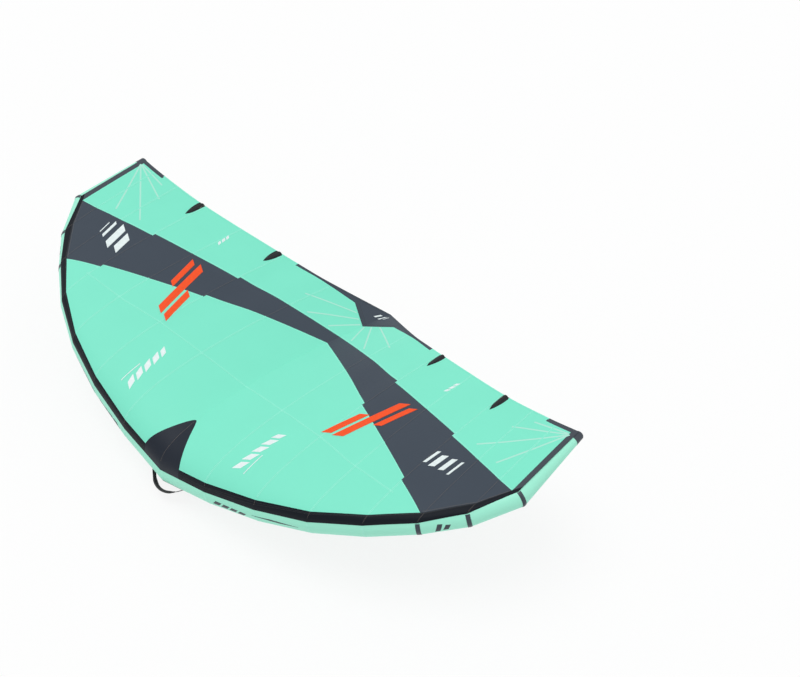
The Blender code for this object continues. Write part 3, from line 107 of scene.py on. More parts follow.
FRONT_END_RANGE = (4.5, 5.4)
FAIRING_HALF_WIDTH = 0.134
FAIRING_LENGTH_SHARE = 0.1395
FAIRING_POWER = 0.80
FAIRING_TIP_ROUND = 0.030
PATCH_HALF_WIDTH = 0.161
PATCH_APEX_SHARE = 0.8548
PATCH_CORNER_SHARE = 0.910
TAPE_END_SPAN_SHARE = 0.326
TAPE_WIDTH = 0.028
TIP_TAPE_START_SHARE = 0.889
SIDE_STRIP_WIDTH = 0.030
BATTEN_SPAN_SHARES = {"inner": 0.391, "outer": 0.709}
POCKET_LENGTH = 0.150
POCKET_WIDTH = 0.044
POCKET_HEIGHT = 0.0068
POCKET_FROM_EDGE = 0.0015
POCKET_TIP_HALF_WIDTH = 0.0008
POCKET_EDGE_RISE = 0.0012
POCKET_STITCH_INSET = 0.0035
BATTEN_REACH = 0.013

# Strut
STRUT_LENGTH = 1.802
STRUT_DIAMETER = 0.200
STRUT_PLACE_SHARES = (0.089, 0.25, 0.527, 0.655, 0.755, 0.8435, 0.9157, 0.971, 0.993, 1.0)
STRUT_GIRTH_SHARES = (1.0, 0.985, 0.91, 0.86, 0.797, 0.68, 0.455, 0.29, 0.175, 0.04)
STRUT_AXIS_DROP = 0.010
STRUT_DROP_SHARES = (1.0, 0.95, 1.0, 0.95, 0.65, 0.85, 1.75, 2.4, 2.75, 2.75)
WEB_END = 0.7534 * STRUT_LENGTH
BLADDER_START = 0.205
TAIL_RADIUS = 0.0004
RIB_CLEARANCE = 0.003
RIB_WALL = 0.0008
RIB_SWAY = 0.0012

# Straps
HANDLE_ENDS = {"rear_handle": (0.997, 1.3245), "front_handle": (0.3101, 0.598)}
HANDLE_DROP = 0.0615
JUNCTION_DROP = 0.0185
WEBBING_WIDTH = 0.026
WEBBING_THICK = 0.0024
WEBBING_TAIL = 0.095
GRIP_WIDTH = 0.029
GRIP_THICK = 0.017
GRIP_END_THICK = 0.007
GRIP_TAPER_SHARE = 0.16
PATCH_WALL = 0.0010
PATCH_WRAP_DEGREES = 84
PATCH_BASE_SHARE = 0.62
FINGER_SHARE = 0.40
FINGER_INSET_SHARE = 0.04
FINGER_WALL = 0.0007
BOND_RISE = 0.0002
LOOP_SPANS = ((0.006, 0.028), (0.052, 0.075))
LOOP_WALL = 0.0012
LOOP_FLANK = 0.012
LOOP_BEND = 0.006
HANDLE_PATCHES = {
    "rear_handle_patch_aft": (-0.002, 0.146),
    "rear_handle_patch_fore": (0.083, 0.098),
    "front_handle_patch_aft": (-0.002, 0.160),
    "front_handle_patch_fore": (0.080, 0.098),
}
NOSE_PATCH_HALF_WIDTH = 0.134
NOSE_PATCH_DEGREES = (-107, -33)
NOSE_PATCH_WALL = 0.0012
NOSE_PATCH_ROUND_DEGREES = 7
NOSE_STRAP_DEGREES = -56
NOSE_STRAP_WIDTH = 0.025
NOSE_STRAP_ROOT = 0.120
NOSE_STRAP_END = 0.162
NOSE_JUNCTION = 0.080
NOSE_STRAP_RISE = 0.0465
NOSE_STRAP_RISE_DEGREES = -43
NOSE_STRAP_BOW_POWER = 0.95
NOSE_STRAP_ROUND = 0.070
NOSE_GRIP_WIDTH = 0.031
NOSE_GRIP_THICK = 0.0155
NOSE_GRIP_END_THICK = 0.007
# Ribs of a grip: depth, pitch, smooth share at each end, room taken off the grip's size
GRIP_RIBS = (0.0007, 0.0065, 0.08, 0.0016)
NOSE_GRIP_RIBS = (0.0005, 0.006, 0.06, 0.001)
# Cross-sections: points round, and how square (2 is an ellipse)
GRIP_SHAPE = (28, 2.6)
NOSE_GRIP_SHAPE = (24, 3.0)
WEBBING_SHAPE = (20, 6.0)

# Valve: its place back along the strut, how far up round it from the left side, and its openings
VALVE_PLACE = 0.446
VALVE_DEGREES = 9
VALVE_SOCKET_RADIUS = 0.026
FILM_HOLE_RADIUS = 0.0312
HOLE_DEPTH = 0.04

# Seams and stitches: widths as sewn, threads drawn broader than life so that a row shows at all
SEAM_WIDTH = 0.010
SEAM_RISE = 0.0006
SEAM_SHORT_SHARE = 0.004
STITCH_LENGTH = 0.0052
STITCH_PITCH = 0.0080
STITCH_WIDTH = 0.0020
STITCH_RISE = 0.0004
HEM_WIDTH = 0.012
RAY_WIDTH = 0.010
RAY_RISE = 0.0004
TUBE_SEAM_WIDTH = 0.012
TUBE_SEAM_RISES = (0.0001, 0.0007, 0.0008, 0.0007, 0.0001)
TUBE_SEAM_SINK = 0.0006
TUBE_STITCH_RISES = (0.0004, 0.0011)
TAPE_STEP = 0.012
TAPE_SINK = 0.0003
BARE_LIFT = 0.0002
PRINT_RISE = 0.0016
PATCH_PRINT_RISE = 0.0012
PRINT_SINK = 0.0002
TUBE_PRINT_RISE = 0.0005
TUBE_PRINT_SINK = 0.0004
BAR_STEP = 0.010
BAR_END_SLOPE = 0.55
TUBE_BAR_END_SLOPE = 0.7
TUBE_BAR_FALL_DEGREES = 14
TUBE_SEAMS = (1, 2, 3, 4)
TUBE_SEAM_START_DEGREES = -200

# Places in plan on the right half, worked out from the nose: (across, back)
SPAN_SEAM = ((0.0, 0.522), (0.273, 0.489), (0.632, 0.449), (0.876, 0.404), (1.043, 0.391), (1.19, 0.380))
TIP_RAYS = (
    ((1.655, 1.196), (1.47, 0.835)),
    ((1.652, 1.192), (1.31, 0.888)),
    ((1.650, 1.196), (1.375, 1.100)),
    ((1.646, 1.200), (1.450, 1.190)),
)
PATCH_RAYS = (
    ((0.097, 1.566), (0.345, 1.355)),
    ((0.053, 1.538), (0.232, 1.255)),
    ((0.016, 1.512), (0.095, 1.300)),
)

# Plain slanted bars where the wing carries printed marks: (across, back, width, length, slant across)
ORANGE_BARS = (
    (0.665, 0.610, 0.046, 0.235, 0.060),
    (0.752, 0.720, 0.052, 0.420, 0.106),
    (0.838, 0.810, 0.040, 0.225, 0.060),
)
PALE_BARS = (
    (0.432, 0.072, 0.040, 0.052, 0.016),
    (0.438, 0.136, 0.040, 0.052, 0.016),
    (0.444, 0.200, 0.040, 0.052, 0.016),
    (0.450, 0.264, 0.040, 0.052, 0.016),
    (0.456, 0.322, 0.040, 0.040, 0.012),
    (0.482, 0.110, 0.004, 0.135, 0.0),
    (0.905, 1.168, 0.018, 0.026, 0.006),
    (0.909, 1.206, 0.018, 0.030, 0.006),
    (0.913, 1.243, 0.018, 0.026, 0.006),
)
LEFT_PALE_BARS = (
    (1.232, 0.680, 0.050, 0.130, 0.030),
    (1.300, 0.690, 0.050, 0.170, 0.040),
    (1.368, 0.700, 0.020, 0.130, 0.030),
    (1.400, 0.690, 0.006, 0.090, 0.020),
)
RIGHT_PALE_BARS = (
    (1.188, 0.680, 0.016, 0.105, 0.012),
    (1.232, 0.676, 0.030, 0.100, 0.012),
    (1.286, 0.684, 0.026, 0.100, 0.012),
    (1.332, 0.686, 0.012, 0.110, 0.012),
)
PATCH_BARS = (
    (-0.022, 1.690, 0.012, 0.060, 0.010),
    (0.004, 1.700, 0.012, 0.060, 0.010),
    (0.026, 1.712, 0.006, 0.045, 0.008),
)
# Bars printed on the leading edge tube: (seam count, degrees, seams long, degrees wide)
TUBE_BARS = (
    (1.24, -9.5, 0.12, 15),
    (1.40, -12.0, 0.12, 15),
    (1.56, -14.5, 0.12, 15),
    (1.72, -17.0, 0.12, 15),
    (2.38, -7.2, 0.52, 1.4),
    (5.40, 2.0, 0.10, 44),
    (5.56, 2.0, 0.10, 30),
)


# Slow ripples of tight cloth: radians per metre across and back, shift and size
CLOTH_WAVES = ((14, 9, 0.0, 1.0), (-19, 8, 1.3, 1.0), (31, 23, 0.4, 0.7))
RIPPLE = 0.00022

# How deep a seam pinches the tube and puckers it, how far along it that reaches, and puckers round
PINCH_DEPTH = 0.0014
PINCH_REACH = 0.010
PUCKER_DEPTH = 0.0004
PUCKER_REACH = 0.022
PUCKERS_ROUND = 26

# Light: how strong the white world lights and the floor glows, and the lamps by name, with turn in degrees,
# strength and softness in degrees
WORLD_LIGHT = 0.62
FLOOR_GLOW = 0.86
FLOOR_HALF_SIDE = 30.0
LAMPS = (("key_softbox", (10, -14, 0), 1.15, 40), ("fill_softbox", (-35, 40, 0), 0.25, 60))

# The camera looks down on the wing from its right front, its place in metres from the nose
CAMERA_PLACE = (3.30684, -2.61998, 4.72635)
CAMERA_LOOK = (-0.43878, 0.60279, -0.66642)
CAMERA_UP = (-0.48273, 0.46741, 0.74061)
CAMERA_LENS_MM = 51.059
SENSOR_WIDTH_MM = 36

# Clearance between pieces that touch, a bladder's room inside its sleeve, and the half step of a slope
GAP = 0.0003
BLADDER_INSET = SLEEVE_WALL + 2 * GAP + 0.0016
PROBE = 0.0005
# How near to a whole number of seams a row counts as on the seam, and the least share of width by length
# that a sheet's area is
ON_SEAM = 1e-6
LEAST_AREA_SHARE = 0.31
UP = np.array((0.0, 0.0, 1.0))
NO_CREASE = np.zeros((0, 2), int)


def nose_centre():
    """The centre of the nose tube in the frame, read off the tube's own box."""
    low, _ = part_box("leading_edge_sleeve_right")
    return np.array((0.0, low.y + NOSE_TUBE_DIAMETER / 2, low.z + NOSE_TUBE_DIAMETER / 2))


NOSE = nose_centre()


# Reading tables


def lerp(a, b, share):
    return a + (b - a) * share


def unit(v):
    return v / np.linalg.norm(v, axis=-1, keepdims=True)


def smooth(places, values, at):
    """Smooth reading of a table, with slopes taken from the neighbours."""
    places, values = np.asarray(places, float), np.asarray(values, float)
    straight = np.diff(values) / np.diff(places)
    inner = (values[2:] - values[:-2]) / (places[2:] - places[:-2])
    slopes = np.concatenate([straight[:1], inner, straight[-1:]])
    at = np.clip(at, places[0], places[-1])
    i = np.clip(np.searchsorted(places, at) - 1, 0, len(places) - 2)
    step = places[i + 1] - places[i]
    t = (at - places[i]) / step
    rise = values[i + 1] - values[i]
    bend_a = slopes[i] * step - rise
    bend_b = rise - slopes[i + 1] * step
    return values[i] + rise * t + t * (1 - t) * (bend_a * (1 - t) + bend_b * t)


def ease(t):
    t = np.clip(t, 0, 1)
    return t * t * (3 - 2 * t)


def halve(low, high, keeps_low, turns):
    """Narrows a range by halves: where the test holds, the answer lies above the middle."""
    for _ in range(turns):
        middle = (low + high) / 2
        test = keeps_low(middle)
        low, high = np.where(test, middle, low), np.where(test, high, middle)
    return low, high


# The leading edge tube's shape

CENTRES = np.stack(
    [
        HALF_SPAN * np.array(SEAM_SPAN_SHARES),
        TIP_SWEEP * np.array(SEAM_SWEEP_SHARES),
        TIP_RISE * np.array(SEAM_RISE_SHARES),
    ],
    axis=1,
)
RADII = NOSE_TUBE_DIAMETER / 2 * np.array(SEAM_GIRTH_SHARES)
RUNS = np.diff(CENTRES, axis=0)
RUN_LENGTHS = np.linalg.norm(RUNS, axis=1)
ALONG = unit(np.vstack([[(1, 0, 0)], unit(RUNS[:-1]) + unit(RUNS[1:]), RUNS[-1:]]))
FORWARD = unit(np.cross(ALONG, UP))
UPWARD = np.cross(FORWARD, ALONG)


def tube_point(q, degrees, extra=0.0):
    """A point of the round, ruled tube: q counts seams out from the nose."""
    q, degrees, extra = np.broadcast_arrays(np.asarray(q, float), degrees, np.asarray(extra, float))
    k = np.clip(q.astype(int), 0, LAST_SEAM - 1)
    angle = np.radians(degrees)[..., None]

    def on_seam(k):
        outward = FORWARD[k] * np.cos(angle) + UPWARD[k] * np.sin(angle)
        return CENTRES[k] + outward * (RADII[k] + extra)[..., None]

    return lerp(on_seam(k), on_seam(k + 1), (q - k)[..., None])


def nearest_on_axis(point):
    """How far a point lies outside the tube, the axis point next to it, and the radius there."""
    depth = np.full(point.shape[:-1], np.inf)
    centre, radius = np.zeros(point.shape), np.zeros(point.shape[:-1])
    for k in range(LAST_SEAM):
        share = np.clip((point - CENTRES[k]) @ RUNS[k] / RUN_LENGTHS[k] ** 2, 0, 1)
        here = CENTRES[k] + share[..., None] * RUNS[k]
        size = lerp(RADII[k], RADII[k + 1], share)
        gap = np.linalg.norm(point - here, axis=-1) - size
        closer = gap < depth
        depth = np.where(closer, gap, depth)
        radius = np.where(closer, size, radius)
        centre = np.where(closer[..., None], here, centre)
    return depth, centre, radius


# The canopy's shape: q counts seams across, u is the share of the chord


def sewn_point(q):
    q = np.asarray(q, float)
    degrees = np.interp(q, range(LAST_SEAM + 1), SEWN_DEGREES)
    return tube_point(q, degrees, GAP + np.maximum(q - CORNER_SEAM, 0) * TIP_LIFT)


CORNER_X = float(sewn_point(CORNER_SEAM)[0])
SEAM_TABLE = np.linspace(0, CORNER_SEAM, 2801)
ACROSS_TABLE = sewn_point(SEAM_TABLE)[:, 0]


def seams_at(x):
    """The seam count of the panel line that runs aft at a distance x from the centre line."""
    return np.interp(np.abs(x), ACROSS_TABLE, SEAM_TABLE)


def across(q):
    return sewn_point(q)[..., 0]


def trailing_point(share):
    share = np.asarray(share, float)
    corner = sewn_point(LAST_SEAM)
    root_back = sewn_point(0)[1] + ROOT_CHORD
    back = lerp(root_back, corner[1], smooth(TRAIL_SPAN_SHARES, TRAIL_SWEEP_SHARES, share))
    height = lerp(-TRAILING_ROOT_DROP, corner[2], smooth(TRAIL_SPAN_SHARES, TRAIL_RISE_SHARES, share))
    return np.stack([share * corner[0], back, height], axis=-1)


def underside(q, u):
    """The canopy's underside, kept clear of the tube that its front lies over."""
    q, u = np.broadcast_arrays(np.asarray(q, float), np.asarray(u, float))
    front = sewn_point(q)
    share = front[..., 0] / CORNER_X
    point = lerp(front, trailing_point(share), u[..., None])
    fade = 1 - np.minimum(share, 1) ** CAMBER_FADE
    point[..., 2] += CAMBER * fade * np.maximum(u, 0) ** NOSE_FULLNESS * (1 - u)
    for _ in range(2):
        run = np.minimum(np.linalg.norm(point - front, axis=-1) / CLOTH_REST_RUN, 1)
        depth, centre, radius = nearest_on_axis(point)
        wanted = lerp(GAP, CLOTH_REST, run)
        pushed = centre + unit(point - centre) * (radius + wanted)[..., None]
        point = np.where(((u > 0) & (depth < wanted))[..., None], pushed, point)
    return point


def canopy_normal(q, u):
    step = 0.01
    over = underside(q + step, u) - underside(np.maximum(q - step, 0), u)
    back = underside(q, np.minimum(u + step, 1)) - underside(q, np.maximum(u - step, 0))
    return unit(np.cross(over, back))


def cloth_life(point):
    """The slow rise and fall of tight cloth, well under a millimetre."""
    x, y = np.abs(point[..., 0]), point[..., 1]
    return RIPPLE * sum(size * np.sin(a * x + b * y + shift) for a, b, shift, size in CLOTH_WAVES)


def canopy_point(q, u, lift=0.0):
    """A point over the canopy's underside; a lift of CLOTH is its upper face."""
    point = underside(q, u)
    slack = cloth_life(point) * ease(np.asarray(u) / 0.08) * ease((1 - np.asarray(u)) / 0.03)
    return point + canopy_normal(q, u) * (np.asarray(lift) + slack)[..., None]


def chord_share(q, back):
    """The chord share of a place so far back along Y."""
    front = sewn_point(q)
    return (back - front[..., 1]) / (trailing_point(front[..., 0] / CORNER_X)[..., 1] - front[..., 1])


def on_canopy(x, y, lift=CLOTH):
    """A point over the canopy at a place in plan, on either half."""
    x, y = np.broadcast_arrays(np.asarray(x, float), np.asarray(y, float))
    q = seams_at(x)
    point = canopy_point(q, np.clip(chord_share(q, y), 0, 1), lift)
    point[..., 0] *= np.where(x < 0, -1, 1)
    return point


def strip_share(q):
    """Where the dark front strip ends, measured along the cloth."""
    q = np.asarray(q, float)
    width = STRIP_WIDTH * np.interp(q, range(CORNER_SEAM + 1), STRIP_WIDTH_SHARES)

    def too_short(middle):
        steps = [underside(q, middle * share) for share in STRIP_STEP_SHARES]
        return sum(np.linalg.norm(b - a, axis=-1) for a, b in zip(steps, steps[1:])) < width

    low, high = halve(np.zeros(q.shape), np.full(q.shape, STRIP_LIMIT_SHARE), too_short, 18)
    return (low + high) / 2


def root_share_place(share):
    return sewn_point(0)[1] + share * ROOT_CHORD


def stripe_edge(q, shares, last=None):
    """Place back of the stripe's front or rear edge: straight runs with a sawtooth at each seam."""
    seams = list(STRIPE_SEAMS[: len(shares)])
    places = [root_share_place(share) for share in shares]
    if last is not None:
        seams.append(last[0])
        places.append(last[1])
    seams, places = np.array(seams, float), np.array(places)
    runs = len(seams) - 1
    i = np.clip(np.searchsorted(seams, q, side="right") - 1, 0, runs - 1)
    low = places[i] - np.where(i > 0, STRIPE_STEP / 2, 0)
    high = places[i + 1] + np.where(i < runs - 1, STRIPE_STEP / 2, 0)
    start, stop = across(seams)[i], across(seams)[i + 1]
    return lerp(low, high, (across(q) - start) / (stop - start))


SIDE = float(seams_at(CORNER_X - SIDE_STRIP_WIDTH))
FAIRING = float(seams_at(FAIRING_HALF_WIDTH))
PATCH = float(seams_at(PATCH_HALF_WIDTH))
TAPE_END = float(seams_at(TAPE_END_SPAN_SHARE * CORNER_X))
TIP_TAPE = float(seams_at(TIP_TAPE_START_SHARE * CORNER_X))
STRIPE_CORNER = (SIDE, float(underside(SIDE, strip_share(SIDE))[1]))


def stripe_front(q):
    return chord_share(q, stripe_edge(q, STRIPE_FRONT_SHARES))


def stripe_rear(q):
    return chord_share(q, stripe_edge(q, STRIPE_REAR_SHARES, STRIPE_CORNER))


# The front panel narrows to a point where the stripe meets the strip
FRONT_END = float(halve(*FRONT_END_RANGE, lambda q: stripe_front(q) > strip_share(q), 24)[0])


def fairing_edge(q):
    """The nose fin's rear edge, with a rounded tip on the centre line."""
    x = across(q)
    base_y = underside(FAIRING, strip_share(FAIRING))[1]
    rounded = np.hypot(x, FAIRING_TIP_ROUND) - FAIRING_TIP_ROUND
    along = rounded / (math.hypot(FAIRING_HALF_WIDTH, FAIRING_TIP_ROUND) - FAIRING_TIP_ROUND)
    tip_y = root_share_place(FAIRING_LENGTH_SHARE)
    edge = chord_share(q, lerp(tip_y, base_y, np.clip(along, 0, 1) ** FAIRING_POWER))
    return np.maximum(edge, strip_share(q))


def trailing_edge(q):
    """Where the rear panel stops: at the patch, at a tape, or at the bare trailing edge."""
    q = np.asarray(q, float)
    x = across(q)
    back = trailing_point(x / CORNER_X)[..., 1]
    taper_from, apex = root_share_place(PATCH_CORNER_SHARE), root_share_place(PATCH_APEX_SHARE)
    patch = lerp(apex, taper_from, x / PATCH_HALF_WIDTH)
    tape_end = trailing_point(TAPE_END_SPAN_SHARE)
    share = (x - PATCH_HALF_WIDTH) / (tape_end[0] - PATCH_HALF_WIDTH)
    taper = lerp(taper_from, tape_end[1] - TAPE_WIDTH, share)
    place = np.where(q <= PATCH, patch, np.where(q <= TAPE_END, taper, back))
    place = np.where(q >= TIP_TAPE, back - TAPE_WIDTH, place)
    return np.where((q <= TAPE_END) | (q >= TIP_TAPE), chord_share(q, place), 1.0)


def columns(start, stop, per_seam=12):
    """The seam counts that carry a row of points: every panel between uses the same ones."""
    tiny = 0.0015
    places = list(np.linspace(0, CORNER_SEAM, CORNER_SEAM * per_seam + 1))
    places += [FAIRING, PATCH, SIDE, FRONT_END, TAPE_END, TAPE_END + tiny, TIP_TAPE - tiny, TIP_TAPE]
    places += [jump - tiny for jump in STRIPE_SEAMS[1:-1]]
    places += list(np.linspace(0, FAIRING, 14)) + list(np.linspace(0, 0.1, 5))
    inside = sorted({round(q, 6) for q in places if start + tiny / 3 < q < stop - tiny / 3})
    return np.array([start] + inside + [stop])


# Colours, materials and their nodes


def linear(hex_colour):
    """The linear colour of an sRGB hex value."""
    channels = [int(hex_colour[i : i + 2], 16) / 255 for i in (0, 2, 4)]
    return (*[c / 12.92 if c <= 0.04045 else ((c + 0.055) / 1.055) ** 2.4 for c in channels], 1.0)


def add_node(tree, kind, links=None, **settings):
    """Adds a node. A setting is one of its own values, or the value of the input of that name or number."""
    node = tree.nodes.new("ShaderNode" + kind)
    for name, value in settings.items():
        setattr(node, name, value)
    for socket, source in (links or {}).items():
        if isinstance(source, bpy.types.NodeSocket):
            tree.links.new(source, node.inputs[socket])
        else:
            node.inputs[socket].default_value = source
    return node


def start_material(name, hex_colour, roughness, **inputs):
    """A new Principled material whose even values are set on the shader's own sockets."""
    made = bpy.data.materials.new(name)
    made.use_nodes = True
    tree = made.node_tree
    shader = tree.nodes["Principled BSDF"]
    shader.inputs["Base Color"].default_value = linear(hex_colour)
    shader.inputs["Roughness"].default_value = roughness
    for socket, value in inputs.items():
        shader.inputs[socket.replace("_", " ")].default_value = value
    made.diffuse_color = linear(hex_colour)
    return made, tree, shader


def millimetres(tree, spacing_mm, uses_map=True):
    """Coordinates in which one unit is one pattern spacing, along the cloth's own threads."""
    if uses_map:
        source = add_node(tree, "UVMap", uv_map="threads").outputs["UV"]
    else:
        source = add_node(tree, "TexCoord").outputs["Object"]
    scale = 1000 / spacing_mm
    return add_node(tree, "Mapping", {"Vector": source, "Scale": (scale, scale, scale)}).outputs["Vector"]


def wave(tree, at, direction="X", scale=0.5, **inputs):
    """Threads or ribs, one to a pattern spacing."""
    inputs = {"Vector": at, "Scale": scale} | {name.replace("_", " "): value for name, value in inputs.items()}
    return add_node(tree, "TexWave", inputs, bands_direction=direction).outputs["Fac"]


def noise(tree, at, scale, detail, **inputs):
    inputs = {"Vector": at, "Scale": scale, "Detail": detail, **inputs}
    return add_node(tree, "TexNoise", inputs).outputs["Fac"]


def combined(tree, operation, a, b):
    return add_node(tree, "Math", {0: a, 1: b}, operation=operation).outputs[0]


def blended(tree, share, a, b):
    return add_node(tree, "Mix", {6: a, 7: b, 0: share}, data_type="RGBA").outputs[2]


def bumped(tree, height, strength, distance, **links):
    settings = {"Height": height, "Strength": strength, "Distance": distance, **links}
    return add_node(tree, "Bump", settings).outputs[0]


def shades(hex_colour, factor, offset=0.0):
    """A colour's linear value, scaled and lifted."""
    return tuple(min(c * factor + offset, 1) for c in linear(hex_colour)[:3]) + (1,)


def connect(tree, shader, tone, normal, shine=None, roughness=0.0, swing=0.0):
    """Joins a pattern's colour, relief and uneven shine to the shader."""
    tree.links.new(tone, shader.inputs["Base Color"])
    tree.links.new(normal, shader.inputs["Normal"])
    if shine is not None:
        spread_out = add_node(tree, "MapRange", {0: shine, 3: roughness - swing, 4: roughness + swing})
        tree.links.new(spread_out.outputs[0], shader.inputs["Roughness"])


def cloth_material(name, hex_colour, roughness, thread_mm, grid_mm, mottle, weave, crease, specular):
    """Woven polyester: crossed threads, a ripstop grid on some, faint mottling and soft handling creases."""
    made, tree, shader = start_material(name, hex_colour, roughness, Specular_IOR_Level=specular)
    threads = millimetres(tree, thread_mm)
    woven = combined(tree, "MAXIMUM", *(wave(tree, threads, way, Distortion=0.4) for way in "XY"))
    height = woven
    space = add_node(tree, "TexCoord").outputs["Object"]
    broad = noise(tree, space, 3.5, 3.0, Roughness=0.55)
    fine = noise(tree, space, 60.0, 4.0, Roughness=0.6)
    lighter = shades(hex_colour, 1 + mottle)
    tone = blended(tree, broad, shades(hex_colour, 1 - mottle), lighter)
    if grid_mm:
        squares = millimetres(tree, grid_mm)
        # The ripstop's heavier threads: only the crest of each wave counts
        lines = [add_node(tree, "MapRange", {0: wave(tree, squares, way), 1: 0.93, 2: 1.0}) for way in "XY"]
        grid = combined(tree, "MAXIMUM", *(line.outputs[0] for line in lines))
        tone = blended(tree, combined(tree, "MULTIPLY", grid, 0.16), tone, lighter)
        height = combined(tree, "ADD", grid, woven)
    creased = bumped(tree, broad, crease, 0.004)
    connect(tree, shader, tone, bumped(tree, height, weave, 0.0002, Normal=creased), fine, roughness, 0.06)
    return made


def strap_material(name, hex_colour, rib_mm):
    """Woven webbing: raised ribs across the strap and a dull, slightly fuzzy face."""
    made, tree, shader = start_material(name, hex_colour, 0.8, Sheen_Weight=0.25, Sheen_Roughness=0.5)
    ribs = millimetres(tree, rib_mm)
    chevron = wave(tree, ribs, Distortion=1.2, Detail_Scale=1.0)
    woven = combined(tree, "MULTIPLY", chevron, wave(tree, ribs, "Y", 1.0))
    tone = blended(tree, woven, shades(hex_colour, 1), shades(hex_colour, 1.7, 0.004))
    connect(tree, shader, tone, bumped(tree, woven, 0.6, 0.0004))
    return made


def moulded_material(name, hex_colour, roughness, grain_mm, depth, **inputs):
    """Moulded plastic, rubber, thread, ink or film with a fine even grain that breaks up its shine."""
    made, tree, shader = start_material(name, hex_colour, roughness, **inputs)
    at = millimetres(tree, grain_mm, uses_map=False)
    wide = noise(tree, at, 0.05, 2.0)
    tone = blended(tree, wide, shades(hex_colour, 1), shades(hex_colour, 1.25, 0.003))
    connect(tree, shader, tone, bumped(tree, noise(tree, at, 1.0, 3.0), depth, 0.0003), wide, roughness, 0.08)
    return made


# Finish, slot, material, colour, roughness, threads and ripstop grid in mm, mottle, weave, crease, specular
CLOTHS = (
    # Ripstop polyester with a polyurethane coat: satin, with a faint raised grid every 6 mm
    ("mint_ripstop", "canopy_cloth", "mint_ripstop_polyester", "80E8CC", 0.55, 1.2, 6.0, 0.02, 0.15, 0.1, 0.25),
    ("slate_ripstop", "stripe_cloth", "slate_ripstop_polyester", "3F4853", 0.55, 1.2, 6.0, 0.05, 0.2, 0.1, 0.15),
    # Heavy dyed polyester along the edges: dull and near black; the front strip's copy is darker still, partly
    # painted shade
    ("edge_polyester", "edge_cloth", "near_black_heavy_polyester", "1B222D", 0.48, 1.6, 0, 0.06, 0.3, 0.1, 0.18),
    # The front strip's colour is its dark cloth with painted shade of its face turned forward and down
    ("painted_shade_strip", "edge_cloth", "near_black_strip_with_painted_shade", "10151D", 0.52, 1.6, 0, 0.06, 0.3, 0.1, 0.12),
    # Dense woven sleeve cloth: pale, smooth and slightly silky
    ("sleeve_polyester", "sleeve_cloth", "pale_mint_dense_polyester", "A0EFD5", 0.46, 1.4, 0, 0.02, 0.2, 0.1, 0.4),
    ("grey_band", "edge_cloth", "slate_sleeve_band", "363E48", 0.36, 1.4, 0, 0.05, 0.25, 0.1, 0.35),
    ("pocket_cloth", "webbing", "black_pocket_cloth", "1E2023", 0.6, 1.4, 0, 0.08, 0.3, 0.2, 0.2),
    ("pale_tape", "canopy_cloth", "pale_reinforcing_tape", "A9E6D4", 0.5, 1.4, 0, 0.02, 0.2, 0.1, 0.5),
)
# Finish, slot, material, colour, roughness, grain in mm, depth of the grain, other values
MOULDED = (
    ("grip_foam", "webbing", "black_ribbed_grip_foam", "17181B", 0.62, 0.8, 0.5, {}),
    ("valve_plastic", "moulded_plastic", "black_moulded_valve_plastic", "14161A", 0.34, 0.6, 0.2, {}),
    ("bladder_film", "bladder_film", "clear_white_bladder_film", "D8DEDC", 0.3, 2.0, 0.2, {"Coat_Weight": 0.2}),
    ("batten_fibre", "batten_rod", "glass_fibre_batten", "D9D2B8", 0.35, 1.0, 0.2, {}),
    ("bright_steel", "spring_steel", "bright_spring_steel", "B8BABC", 0.28, 0.8, 0.1, {"Metallic": 1.0}),
    ("hose_rubber", "hose_rubber", "translucent_hose_rubber", "C9D3D6", 0.45, 1.2, 0.2, {}),
    # Bonded polyester thread: drawn about 2 mm broad so that a row of stitches shows at all
    ("tan_thread", "stripe_cloth", "tan_bonded_thread", "5C544E", 0.55, 1.0, 0.3, {}),
    ("pale_thread", "canopy_cloth", "pale_bonded_thread", "A9EBDA", 0.55, 1.0, 0.3, {}),
    ("dark_thread", "edge_cloth", "dark_bonded_thread", "171B20", 0.55, 1.0, 0.3, {}),
    # Printed marks: a thin matt ink layer
    ("orange_print", "canopy_cloth", "orange_print_ink", "EC4E1F", 0.55, 1.0, 0.1, {"Specular_IOR_Level": 0.2}),
    ("pale_print", "canopy_cloth", "pale_grey_print_ink", "D9E4E4", 0.5, 1.0, 0.1, {}),
    ("dark_print", "sleeve_cloth", "dark_grey_print_ink", "2B333B", 0.5, 1.0, 0.1, {}),
)
WEBBING_RIB_MM = 2.2

FINISHES = {row[0]: cloth_material(*row[2:]) for row in CLOTHS}
FINISHES["dark_webbing"] = strap_material("black_polyester_webbing", "1E1F22", WEBBING_RIB_MM)
FINISHES.update({row[0]: moulded_material(*row[2:-1], **row[-1]) for row in MOULDED})


# Building meshes


def arc_lengths(grid, axis):
    steps = np.linalg.norm(np.diff(grid, axis=axis), axis=-1)
    zero = np.zeros_like(np.take(steps, [0], axis=axis))
    return np.cumsum(np.concatenate([zero, steps], axis=axis), axis=axis)


def thread_map(grid):
    """Each point's place along the cloth's two threads, in metres."""
    return np.stack([arc_lengths(grid, 0), arc_lengths(grid, 1)], axis=-1)


def grid_faces(rows, cols, wrap):
    """Faces between the points of a grid. A wrapped one closes on its first column."""
    i, j = mesh_of(np.arange(rows - 1), np.arange(cols if wrap else cols - 1))
    k = (j + 1) % cols
    corners = i * cols + j, (i + 1) * cols + j, (i + 1) * cols + k, i * cols + k
    return np.stack(corners, axis=-1).reshape(-1, 4)


